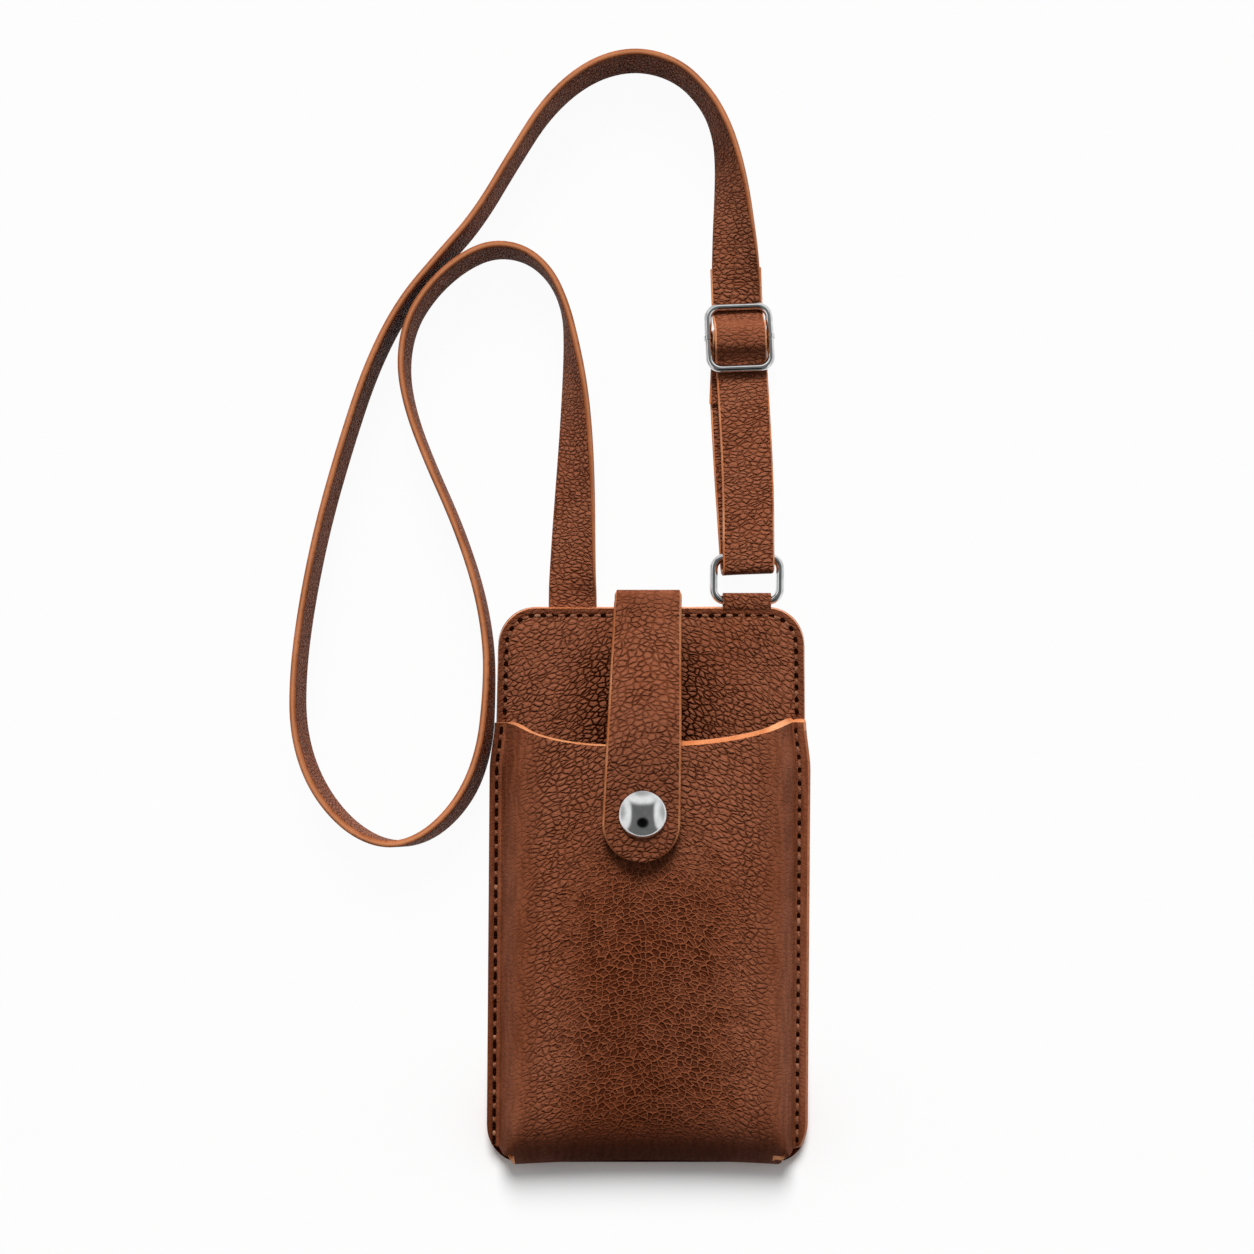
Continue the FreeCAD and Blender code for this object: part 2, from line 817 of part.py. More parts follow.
pieces = {
    "back_panel": back_panel(),
    "facing_panel": facing_panel(),
    "front_pocket": front_pocket(),
    "tab_root": tab_root(),
    "tab_fold": tab_fold(),
    "closure_tab": closure_tab(),
    "snap_cap": snap_cap(),
    "snap_socket": snap_socket(),
    "snap_stud": snap_stud(),
    "snap_post": snap_post(),
    "ring_loop": ring_loop(),
    "strap_ring": strap_ring(),
    "slider_frame": slider_frame(),
    "slider_bar": slider_bar(),
    "strap_anchor_end": strap_anchor_end(),
    "shoulder_strap": shoulder_strap(),
    "strap_slider_leg": strap_slider_leg(),
    "strap_bight": strap_bight(),
    "strap_front_run": strap_front_run(),
    "strap_ring_fold": strap_ring_fold(),
    "strap_return_run": strap_return_run(),
    "strap_end_loop": strap_end_loop(),
    "strap_end_thread": strap_end_seam(),
    "left_seam_thread": side_seam(-1),
    "right_seam_thread": side_seam(1),
    "top_seam_thread": top_seam(),
}

for name, shape in pieces.items():
    print("%-18s solids %3d  volume %9.1f  valid %s" % (name, len(shape.Solids), shape.Volume, shape.isValid()))
    shape.exportStep("parts/" + name + ".step")
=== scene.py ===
import math
import bpy
import bmesh
from mathutils import Matrix, Vector, noise


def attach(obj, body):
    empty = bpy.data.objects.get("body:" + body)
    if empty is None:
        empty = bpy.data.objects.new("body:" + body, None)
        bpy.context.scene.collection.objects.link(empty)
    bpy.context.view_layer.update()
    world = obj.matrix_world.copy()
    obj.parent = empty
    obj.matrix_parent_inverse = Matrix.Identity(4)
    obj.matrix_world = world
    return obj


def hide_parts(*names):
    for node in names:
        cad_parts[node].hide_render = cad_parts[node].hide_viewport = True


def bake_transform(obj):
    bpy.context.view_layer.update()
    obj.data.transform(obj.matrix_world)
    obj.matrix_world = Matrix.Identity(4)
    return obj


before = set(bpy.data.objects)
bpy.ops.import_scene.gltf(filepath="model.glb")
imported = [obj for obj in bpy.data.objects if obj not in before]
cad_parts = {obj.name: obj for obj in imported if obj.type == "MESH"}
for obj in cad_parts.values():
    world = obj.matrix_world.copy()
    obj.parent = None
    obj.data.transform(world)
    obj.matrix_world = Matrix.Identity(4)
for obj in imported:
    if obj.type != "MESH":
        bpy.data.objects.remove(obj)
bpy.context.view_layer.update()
scene = bpy.context.scene
mm = 0.001  # pieces are shaped in millimetres and scaled once, at the end


# small helpers for meshes

def clearSelection():
    if bpy.context.mode != "OBJECT":
        bpy.ops.object.mode_set(mode="OBJECT")
    bpy.ops.object.select_all(action="DESELECT")


def pickOnly(piece):
    clearSelection()
    piece.select_set(True)
    bpy.context.view_layer.objects.active = piece


def addPiece(name, data):
    piece = bpy.data.objects.new(name, data)
    scene.collection.objects.link(piece)
    return piece


def applyModifier(piece, kind, **settings):
    pickOnly(piece)
    modifier = piece.modifiers.new(kind.title(), kind)
    for key, value in settings.items():
        setattr(modifier, key, value)
    bpy.ops.object.modifier_apply(modifier=modifier.name)


def smoothByAngle(piece, degrees):
    pickOnly(piece)
    bpy.ops.object.shade_smooth_by_angle(angle=math.radians(degrees))


def faceOutward(piece, merge=0.0):
    pickOnly(piece)
    bpy.ops.object.mode_set(mode="EDIT")
    bpy.ops.mesh.select_all(action="SELECT")
    if merge:
        bpy.ops.mesh.remove_doubles(threshold=merge)
    bpy.ops.mesh.normals_make_consistent(inside=False)
    bpy.ops.object.mode_set(mode="OBJECT")


def blendStep(value, low, high):
    t = min(max((value - low) / (high - low), 0.0), 1.0)
    return t * t * (3 - 2 * t)


def bell(value, centre, width):
    return math.exp(-((value - centre) / width) ** 2)


def bySide(pair, x):
    return pair[0] if x < 0 else pair[1]


def between(value, pair):
    return pair[0] < value < pair[1]


def patch(x, y, most, line, aside, width, start, end):
    # a soft patch at both sides of a line, rising from start to end
    return most * bell(abs(x - line), aside, width) * blendStep(y, start, end)


def runningLengths(points, start=0.0):
    lengths = [start]
    for first, second in zip(points, points[1:]):
        lengths.append(lengths[-1] + (second - first).length)
    return lengths


def paintPoints(piece, name, amount):
    # a soft mask on the points, read by the leather
    layer = piece.data.attributes.new(name, "FLOAT", "POINT")
    for v in piece.data.vertices:
        layer.data[v.index].value = amount(v.co)


def toMetres(piece):
    piece.data.transform(Matrix.Scale(mm, 4))
    piece.data.update()


def dress(piece, slot, *materials):
    held = piece.data.materials
    for number, material in enumerate(materials):
        if number < len(held):
            held[number] = material
        else:
            held.append(material)


# small helpers for materials

def tone(red, green, blue):
    shares = [c / 255 for c in (red, green, blue)]
    return tuple([c / 12.92 if c <= 0.04045 else ((c + 0.055) / 1.055) ** 2.4 for c in shares] + [1.0])


def fillInputs(tree, made, inputs):
    for key, value in inputs.items():
        if isinstance(value, bpy.types.NodeSocket):
            tree.links.new(value, made.inputs[key])
        else:
            made.inputs[key].default_value = value


def addNode(tree, kind, inputs=None, **settings):
    made = tree.nodes.new(kind)
    for key, value in settings.items():
        setattr(made, key, value)
    fillInputs(tree, made, inputs or {})
    return made


def mathNode(tree, operation, first, second=0.5):
    return addNode(tree, "ShaderNodeMath", {0: first, 1: second}, operation=operation).outputs[0]


def times(tree, first, second):
    return mathNode(tree, "MULTIPLY", first, second)


def plus(tree, first, second):
    return mathNode(tree, "ADD", first, second)


def minus(tree, first, second):
    return mathNode(tree, "SUBTRACT", first, second)


def rangeNode(tree, value, fromLow, fromHigh, toLow, toHigh):
    inputs = {"Value": value, "From Min": fromLow, "From Max": fromHigh, "To Min": toLow, "To Max": toHigh}
    return addNode(tree, "ShaderNodeMapRange", inputs, interpolation_type="SMOOTHSTEP").outputs["Result"]


def vectorNode(tree, operation, first, inputs):
    return addNode(tree, "ShaderNodeVectorMath", {0: first, **inputs}, operation=operation)


def mixColours(tree, share, first, second):
    return addNode(tree, "ShaderNodeMix", {0: share, 6: first, 7: second}, data_type="RGBA").outputs[2]


def noiseAt(tree, place, scale, detail=2.0):
    inputs = {"Vector": place, "Scale": scale, "Detail": detail}
    return addNode(tree, "ShaderNodeTexNoise", inputs).outputs["Fac"]


def cellsAt(tree, place, scale):
    # cells of a pattern: distance to a cell's edge, distance to its middle, and a chance value for each cell
    inputs = {"Vector": place, "Scale": scale}
    kind = "ShaderNodeTexVoronoi"
    border = addNode(tree, kind, inputs, feature="DISTANCE_TO_EDGE", voronoi_dimensions="2D")
    cell = addNode(tree, kind, inputs, feature="F1", voronoi_dimensions="2D")
    chance = addNode(tree, "ShaderNodeSeparateXYZ", {0: cell.outputs["Color"]}).outputs["X"]
    return border.outputs["Distance"], cell.outputs["Distance"], chance


def objectPlace(tree):
    return addNode(tree, "ShaderNodeTexCoord").outputs["Object"]


def drawnOut(tree, place, ways):
    return addNode(tree, "ShaderNodeMapping", {"Vector": place, "Scale": ways}).outputs[0]


def bumpNode(tree, strength, depth, height):
    inputs = {"Strength": strength, "Distance": depth, "Height": height}
    return addNode(tree, "ShaderNodeBump", inputs).outputs[0]


def maskNode(tree, name):
    return addNode(tree, "ShaderNodeAttribute", attribute_name=name).outputs["Fac"]


def newMaterial(name):
    material = bpy.data.materials.new(name)
    material.use_nodes = True
    return material, material.node_tree, material.node_tree.nodes["Principled BSDF"]


# grained leather: rounded islands with furrows between them, in flat arches across the pouch,
# and dark pits in a paler net where it was pressed hardest
# the lighter tops of the islands and the paler net are painted highlight; the darker pits, furrows,
# creases and strokes are painted shade in the hollows
# masks on the points say where it is pressed, creased, stretched or in painted shade
leatherLook = {
    # top and net are painted highlight colours, pit is painted shade in the hollows, shade is the painted
    # shade of the shaded mask
    "base": tone(126, 69, 44), "pale": tone(140, 82, 57), "top": tone(158, 100, 75),
    "net": tone(150, 84, 52), "pit": tone(52, 15, 3), "shade": tone(54, 17, 4),
    # patterns: cells or waves to a metre, and how they are drawn out
    "cells": 640.0, "cellWays": (0.66, 1.0, 1.0), "shoulder": 0.30, "furrow": (0.02, 0.17),
    "pitCells": 690.0, "pitWays": (0.68, 1.0, 1.0), "pitSlope": (0.03, 0.24),
    "fineCells": 1250.0, "fineSlope": (0.03, 0.4),
    "creaseWays": (120.0, 260.0, 120.0), "creaseWidth": 0.03, "strokeWays": (760.0, 90.0, 90.0),
    "patches": 110.0, "specks": 420.0, "mottles": 30.0, "pores": 2600.0,
    # rise and roundness of the arches, then scale and reach of the noises that push the pattern about
    "arch": (0.42, 0.012), "drifts": ((55.0, 0.004), (170.0, 0.0014), (480.0, 0.0008)),
    # ramps over the noises: from low, from high, to low, to high
    "ragged": (0.2, 0.8, -0.18, 0.18), "worn": (0.34, 0.62, 0.4, 0.8), "specked": (0.35, 0.6, 0.35, 1.0),
    "stroke": (0.38, 0.66, 0.0, 1.0), "mottle": (0.35, 0.68, 0.0, 0.9), "pitDepths": (0.0, 0.8, 0.6, 1.0),
    "dome": (0.0, 0.7, 0.5, 0.0), "domeHeights": (0.1, 0.9, 0.2, 1.0),
    # how much of the grain stretching takes, how deep each form sinks, and how far it takes its colour
    "smoothed": 0.86, "islandRise": 0.50, "poreRise": 0.10,
    "sinks": {"pits": 0.80, "furrows": 0.55, "finePits": 0.14, "creases": 0.30, "strokes": 0.16},
    # the tints paint highlight on the islands' tops and the net, and paint shade in the pits, furrows,
    # creases and strokes
    "tints": (("islands", 0.55, "top"), ("net", 0.30, "net"), ("strokes", 0.30, "pit"),
              ("furrows", 0.74, "pit"), ("pits", 0.82, "pit"), ("creases", 0.42, "pit"),
              ("finePits", 0.10, "pit")),
    "bump": 1.0, "bumpDepth": 0.0009, "roughness": (0.0, 0.7, 0.46, 0.66), "shadeRoughness": 0.4,
    "specular": 0.02,
}


def shifted(tree, place, scale, reach):
    # the pattern's place, pushed about by a noise
    drift = addNode(tree, "ShaderNodeTexNoise", {"Vector": place, "Scale": scale, "Detail": 1.0})
    centred = vectorNode(tree, "SUBTRACT", drift.outputs["Color"], {1: (0.5, 0.5, 0.5)})
    scaled = vectorNode(tree, "SCALE", centred.outputs[0], {"Scale": reach})
    return vectorNode(tree, "ADD", place, {1: scaled.outputs[0]}).outputs[0]


def pitsAt(tree, place, look, cells, slope):
    # one soft pit of uneven depth in each cell, with a net left standing between them
    inward, middle, chance = cellsAt(tree, place, look[cells])
    sunken = rangeNode(tree, inward, *look[slope], 0.0, 1.0)
    return times(tree, sunken, rangeNode(tree, chance, *look["pitDepths"]))


def islandsAt(tree, place, look):
    # soft rounded islands, each of its own height, and the furrows round them
    inward, middle, chance = cellsAt(tree, place, look["cells"])
    dome = rangeNode(tree, middle, *look["dome"])
    dome = times(tree, dome, rangeNode(tree, chance, *look["domeHeights"]))
    islands = plus(tree, rangeNode(tree, inward, 0.0, look["shoulder"], 0.0, 0.5), dome)
    return islands, rangeNode(tree, inward, *look["furrow"], 1.0, 0.0)


def archedPlace(tree, look):
    place = objectPlace(tree)
    x, y, z = addNode(tree, "ShaderNodeSeparateXYZ", {0: place}).outputs
    rise, crown = look["arch"]
    reach = mathNode(tree, "SQRT", plus(tree, times(tree, x, x), crown ** 2))
    lifted = plus(tree, y, times(tree, reach, rise))
    return addNode(tree, "ShaderNodeCombineXYZ", {0: x, 1: lifted, 2: z}).outputs[0]


def grainLeather(name, look, uvName=None):
    material, tree, shader = newMaterial(name)
    if uvName:
        place = addNode(tree, "ShaderNodeUVMap", uv_map=uvName).outputs["UV"]
    else:
        place = archedPlace(tree, look)
    swayed = place
    for scale, reach in look["drifts"]:
        swayed = shifted(tree, swayed, scale, reach)
    patches = noiseAt(tree, place, look["patches"])
    stretched = maskNode(tree, "stretched")
    shaded = maskNode(tree, "shaded")
    relaxed = minus(tree, 1.0, times(tree, stretched, look["smoothed"]))
    spread = plus(tree, maskNode(tree, "pebble"), rangeNode(tree, patches, *look["ragged"]))
    pressed = times(tree, rangeNode(tree, spread, 0.0, 1.0, 0.0, 1.0), relaxed)
    loose = mathNode(tree, "MAXIMUM", minus(tree, relaxed, pressed), 0.0)

    # islands and furrows, pits, small pits, and long creases the same way
    specks = rangeNode(tree, noiseAt(tree, place, look["specks"]), *look["specked"])
    uneven = times(tree, rangeNode(tree, patches, *look["worn"]), specks)
    depth = times(tree, mathNode(tree, "MAXIMUM", uneven, maskNode(tree, "creased")), loose)
    islands, furrows = islandsAt(tree, drawnOut(tree, swayed, look["cellWays"]), look)
    dotted = drawnOut(tree, swayed, look["pitWays"])
    pits = times(tree, pitsAt(tree, dotted, look, "pitCells", "pitSlope"), pressed)
    finePits = pitsAt(tree, dotted, look, "fineCells", "fineSlope")
    creases = noiseAt(tree, drawnOut(tree, swayed, look["creaseWays"]), 1.0)
    creases = mathNode(tree, "ABSOLUTE", minus(tree, creases, 0.5))
    creases = rangeNode(tree, creases, 0.0, look["creaseWidth"], 1.0, 0.0)
    # long strokes where the leather was drawn over the mould
    strokes = noiseAt(tree, drawnOut(tree, swayed, look["strokeWays"]), 1.0, 3.0)
    forms = {
        "islands": times(tree, islands, loose),
        "furrows": times(tree, furrows, depth),
        "creases": times(tree, creases, depth),
        "pits": pits,
        "net": minus(tree, pressed, pits),
        "finePits": times(tree, finePits, relaxed),
        "strokes": times(tree, rangeNode(tree, strokes, *look["stroke"]), stretched),
    }

    sunk = 0.0
    for key, share in look["sinks"].items():
        sunk = plus(tree, sunk, times(tree, forms[key], share))
    pores = times(tree, noiseAt(tree, place, look["pores"]), look["poreRise"])
    raised = plus(tree, times(tree, forms["islands"], look["islandRise"]), pores)
    mottle = rangeNode(tree, noiseAt(tree, place, look["mottles"], 3.0), *look["mottle"])
    colour = mixColours(tree, mottle, look["base"], look["pale"])
    # painted highlight on the islands' tops and the net, painted shade in the hollows, then the shaded mask's
    # painted shade
    for key, share, paint in look["tints"]:
        colour = mixColours(tree, times(tree, forms[key], share), colour, look[paint])
    rough = rangeNode(tree, sunk, *look["roughness"])
    fillInputs(tree, shader, {
        "Base Color": mixColours(tree, shaded, colour, look["shade"]),
        "Roughness": plus(tree, rough, times(tree, shaded, look["shadeRoughness"])),
        "Normal": bumpNode(tree, look["bump"], look["bumpDepth"], minus(tree, raised, sunk)),
        "Specular IOR Level": look["specular"],
    })
    return material


edgeLook = {
    "fibres": (700.0, 4.0), "blotches": 60.0, "blotch": (0.35, 0.65, 0.0, 1.0),
    # rim and middle ramp the painted shade at the edge's sides and the painted highlight along its middle
    "streak": (0.5, 0.75, 0.0, 0.45), "rim": (0.0, 0.7, 0.75, 0.0), "middle": (0.8, 1.0, 0.0, 0.6),
    "bump": (0.25, 0.0002), "roughness": (0.3, 0.7, 0.34, 0.55), "specular": 0.15,
}


def cutEdge(name, base, pale, dark, highlight=None):
    # painted cut edge: tan, streaked along the leather
    material, tree, shader = newMaterial(name)
    place = objectPlace(tree)
    fibres = noiseAt(tree, place, *edgeLook["fibres"])
    blotches = rangeNode(tree, noiseAt(tree, place, edgeLook["blotches"]), *edgeLook["blotch"])
    colour = mixColours(tree, blotches, tone(*base), tone(*pale))
    colour = mixColours(tree, rangeNode(tree, fibres, *edgeLook["streak"]), colour, tone(*dark))
    if highlight:
        # painted highlight along its middle, and painted shade where it meets the faces, as on a lit rounded
        # edge
        crown = maskNode(tree, "crown")
        colour = mixColours(tree, rangeNode(tree, crown, *edgeLook["rim"]), colour, tone(*dark))
        colour = mixColours(tree, rangeNode(tree, crown, *edgeLook["middle"]), colour, tone(*highlight))
    fillInputs(tree, shader, {
        "Base Color": colour,
        "Roughness": rangeNode(tree, fibres, *edgeLook["roughness"]),
        "Normal": bumpNode(tree, *edgeLook["bump"], fibres),
        "Specular IOR Level": edgeLook["specular"],
    })
    return material


metalLook = {
    "bright": tone(226, 226, 226), "dull": tone(206, 207, 208), "haze": (420.0, 3.0),
    "dulled": (0.3, 0.7, 0.0, 1.0), "roughness": (0.3, 0.75, 0.06, 0.16),
}


def polishedMetal(name, look):
    material, tree, shader = newMaterial(name)
    haze = noiseAt(tree, objectPlace(tree), *look["haze"])
    fillInputs(tree, shader, {
        "Base Color": mixColours(tree, rangeNode(tree, haze, *look["dulled"]), look["bright"], look["dull"]),
        "Roughness": rangeNode(tree, haze, *look["roughness"]),
        "Metallic": 1.0,
    })
    return material


threadLook = {
    "dark": tone(108, 62, 42), "light": tone(144, 94, 70), "worn": tone(178, 132, 106),
    "twists": 620.0, "uneven": 1.5, "wear": 320.0, "wornShare": (0.5, 0.7, 0.0, 0.5),
    "roughness": 0.6, "bump": (0.5, 0.0002), "specular": 0.1,
}


def waxedThread(name, look):
    material, tree, shader = newMaterial(name)
    place = objectPlace(tree)
    inputs = {"Vector": place, "Scale": look["twists"], "Distortion": look["uneven"]}
    twist = addNode(tree, "ShaderNodeTexWave", inputs, bands_direction="DIAGONAL").outputs["Fac"]
    wear = rangeNode(tree, noiseAt(tree, place, look["wear"]), *look["wornShare"])
    colour = mixColours(tree, twist, look["dark"], look["light"])
    fillInputs(tree, shader, {
        "Base Color": mixColours(tree, wear, colour, look["worn"]),
        "Roughness": look["roughness"],
        "Normal": bumpNode(tree, *look["bump"], twist),
        "Specular IOR Level": look["specular"],
    })
    return material


strapUv = "strapLength"  # runs along the strap, in metres
# the strap's colours: top is its painted highlight on the grain, pit its painted shade in the hollows
strapLook = dict(leatherLook, base=tone(135, 75, 49), pale=tone(147, 89, 63), top=tone(168, 109, 83),
                 pit=tone(90, 39, 19), cells=780.0, cellWays=(0.54, 1.0, 1.0),
                 drifts=((55.0, 0.005), (170.0, 0.0014), (480.0, 0.0008)))
# stitch holes: near-black leather, painted shade inside the holes
holeShadeLook = dict(leatherLook, base=tone(22, 8, 3), pale=tone(30, 11, 4), top=tone(30, 11, 4))
pouchLeather = grainLeather("pouchLeather", leatherLook)
strapLeather = grainLeather("strapLeather", strapLook, strapUv)
stitchHoleShade = grainLeather("stitchHoleShade", holeShadeLook)
tanEdge = cutEdge("tanEdge", (196, 116, 70), (226, 154, 108), (144, 76, 38))
# strap edges: painted highlight along the middle of each edge, painted shade at its sides
strapEdge = cutEdge("strapEdge", (152, 84, 47), (176, 104, 64), (86, 38, 16), highlight=(206, 142, 102))
# the tan cut edge painted brighter: painted light on the lower corners' edges, which lie in shade
litCornerEdge = cutEdge("litCornerEdge", (240, 130, 42), (246, 150, 70), (190, 92, 26))
flangeEdge = cutEdge("flangeEdge", (158, 86, 44), (178, 104, 60), (112, 54, 24))
nickel = polishedMetal("polishedNickel", metalLook)
thread = waxedThread("brownThread", threadLook)
print("materials made")


# camera, floor and lights

camera = {"place": (-0.00736, 0.08256, 0.458), "lens": 40.8, "sensor": 36.0, "nearest": 0.01}


def addCamera():
    data = bpy.data.cameras.new("photoCamera")
    data.lens = camera["lens"]
    data.sensor_width = camera["sensor"]
    data.clip_start = camera["nearest"]
    scene.camera = addPiece("photoCamera", data)
    scene.camera.location = camera["place"]


studio = {
    # the floor glows by itself, apart from a band where the lower edge throws its shadow
    "floorSize": 6.0, "floorDrop": 0.0002, "floorColour": tone(253, 253, 253), "floorRoughness": 0.9,
    "glowAbove": (-0.085, -0.045, 0.0, 0.97), "glowBelow": (-0.116, -0.091, 0.97, 0.0),
    # a white tent, as leather is lit by it: ramps by direction, and the tilt, spread and floor of its opening
    "tentStrength": 0.44, "tentBack": (-0.30, 0.30, 0.10, 1.0), "tentSides": (0.3, 0.8, 0.0, 0.75),
    "tentLow": (0.15, 0.50, 0.10, 1.0), "opening": (40.0, (38.0, 20.0), 0.04),
    # the same tent as polished metal sees it
    "shineStrength": 1.0, "shineSides": (0.56, 0.80, 0.0, 1.0), "shineBack": (0.40, 0.80, 0.0, 1.0),
    "shineFade": (0.82, 1.0, 1.0, 0.45), "ceiling": 0.17, "core": (33.0, (25.0, 15.0), 0.02),
    # soft light from beyond the top of the pouch
    "keyFrom": (-0.02, 0.80, 0.62), "keyStrength": 3.65, "keySoftness": 24.0,
}


def darkSpot(tree, way, tilt, across, floor):
    # a round opening in the tent, tilted from overhead towards the lower edge
    tilt = math.radians(tilt)
    towards = (0.0, -math.sin(tilt), math.cos(tilt))
    outer, inner = [math.cos(math.radians(a)) for a in across]
    facing = vectorNode(tree, "DOT_PRODUCT", way, {1: towards}).outputs["Value"]
    return rangeNode(tree, facing, outer, inner, 1.0, floor)


def tentWays(tree):
    # the direction, how far it points to either side, to the back, and up
    way = addNode(tree, "ShaderNodeTexCoord").outputs["Generated"]
    x, back, up = addNode(tree, "ShaderNodeSeparateXYZ", {0: way}).outputs
    return way, mathNode(tree, "ABSOLUTE", x), back, up


def shineTent(tree):
    # white panels behind and at both sides, a grey ceiling and a dark opening
    way, aside, back, up = tentWays(tree)
    panels = 0.0
    for place, ramp in ((aside, "shineSides"), (back, "shineBack")):
        panel = rangeNode(tree, place, *studio[ramp])
        panel = times(tree, panel, rangeNode(tree, place, *studio["shineFade"]))
        panels = mathNode(tree, "MAXIMUM", panels, panel)
    panels = rangeNode(tree, panels, 0.0, 1.0, studio["ceiling"], 1.0)
    return times(tree, panels, darkSpot(tree, way, *studio["core"]))


def lightTent(tree):
    # brighter behind and at its sides, with a dark opening above the object
    way, aside, back, up = tentWays(tree)
    walls = rangeNode(tree, back, *studio["tentBack"])
    walls = plus(tree, walls, rangeNode(tree, aside, *studio["tentSides"]))
    walls = times(tree, walls, darkSpot(tree, way, *studio["opening"]))
    return times(tree, walls, rangeNode(tree, up, *studio["tentLow"]))


def addFloor():
    clearSelection()
    bpy.ops.mesh.primitive_plane_add(size=studio["floorSize"], location=(0, 0, -studio["floorDrop"]))
    floor = bpy.context.object
    floor.name = "paleFloor"
    material, tree, shader = newMaterial("paleFloor")
    fillInputs(tree, shader, {"Base Color": studio["floorColour"], "Roughness": studio["floorRoughness"]})
    rays = addNode(tree, "ShaderNodeLightPath").outputs
    seen = mathNode(tree, "MAXIMUM", rays["Is Camera Ray"], rays["Is Glossy Ray"])
    seen = mathNode(tree, "MAXIMUM", seen, rays["Is Transmission Ray"])
    y = addNode(tree, "ShaderNodeSeparateXYZ", {0: objectPlace(tree)}).outputs["Y"]
    above, below = [rangeNode(tree, y, *studio[key]) for key in ("glowAbove", "glowBelow")]
    bright = mathNode(tree, "MAXIMUM", above, below)
    glow = addNode(tree, "ShaderNodeEmission", {"Color": studio["floorColour"], "Strength": 1.0})
    inputs = {0: times(tree, seen, bright), 1: shader.outputs[0], 2: glow.outputs[0]}
    both = addNode(tree, "ShaderNodeMixShader", inputs)
    tree.links.new(both.outputs[0], tree.nodes["Material Output"].inputs["Surface"])
    floor.data.materials.append(material)


def addLights():
    world = bpy.data.worlds.new("softStudio")
    world.use_nodes = True
    sky = world.node_tree
    shine = addNode(sky, "ShaderNodeLightPath").outputs["Is Glossy Ray"]
    light = times(sky, lightTent(sky), studio["tentStrength"])
    gleam = times(sky, shineTent(sky), studio["shineStrength"])
    strength = rangeNode(sky, shine, 0.0, 1.0, light, gleam)
    fillInputs(sky, sky.nodes["Background"], {"Color": (1, 1, 1, 1), "Strength": strength})
    scene.world = world
    scene.view_settings.view_transform = "Standard"
    data = bpy.data.lights.new("keyLight", "SUN")
    data.energy = studio["keyStrength"]
    data.angle = math.radians(studio["keySoftness"])
    lamp = addPiece("keyLight", data)
    lamp.location = studio["keyFrom"]
    lamp.rotation_euler = (-lamp.location).to_track_quat("-Z", "Y").to_euler()
    lamp.visible_glossy = False


addCamera()
addFloor()
addLights()
print("camera and studio set")


# strap

strap = {
    "width": 15.5, "thickness": 2.1, "edgeCrown": 0.55, "topEdge": 89.0, "faceSteps": 6, "edgeSteps": 5,
    # x, y above the pouch's top edge, roll: 0 lies flat, 90 stands on its edge with its right side up
    "shoulder": [
        (-24.8, -6, 0), (-24.8, 2.5, 2), (-24.8, 9, 17), (-24.5, 20, 26), (-23.9, 37, 38), (-23.6, 54, 50),
        (-23.9, 69, 62), (-25.0, 83, 77), (-26.8, 95, 88), (-31.4, 105.2, 90), (-39.4, 112, 90),
        (-49.8, 113.5, 90), (-59.8, 109, 90), (-69.2, 100.6, 90), (-76.2, 89.6, 90), (-78.4, 76, 90),
        (-76, 62, 90), (-70, 46, 90), (-61, 26, 90), (-54.2, 6, 90), (-51, -12, 89), (-51, -28, 87),
        (-52.4, -45.5, 82), (-58.4, -61, 78), (-69.5, -72.6, 78), (-82, -76.2, 82), (-95, -70.4, 87),
        (-106, -57, 90), (-111.6, -40, 90), (-111.6, -20.5, 90), (-108.6, 2, 90), (-103.4, 27, 90),
        (-95.6, 54, 90), (-88, 76.5, 90), (-78.4, 95.2, 90), (-66, 109.8, 90), (-54.6, 122.6, 90),
        (-43.2, 141.8, 90), (-32.4, 158.8, 90), (-19, 170, 90), (-4.6, 173.8, 90), (9.0, 170, 90),
        (18.2, 160.5, 93), (22.6, 151, 101), (24.6, 142, 112), (25.8, 132, 125), (26.5, 122, 138),
        (27.2, 112, 155), (27.6, 104, 171), (27.9, 97.2, 180),
    ],
    "caughtHeight": 2.0, "splitAt": 246.0,
}
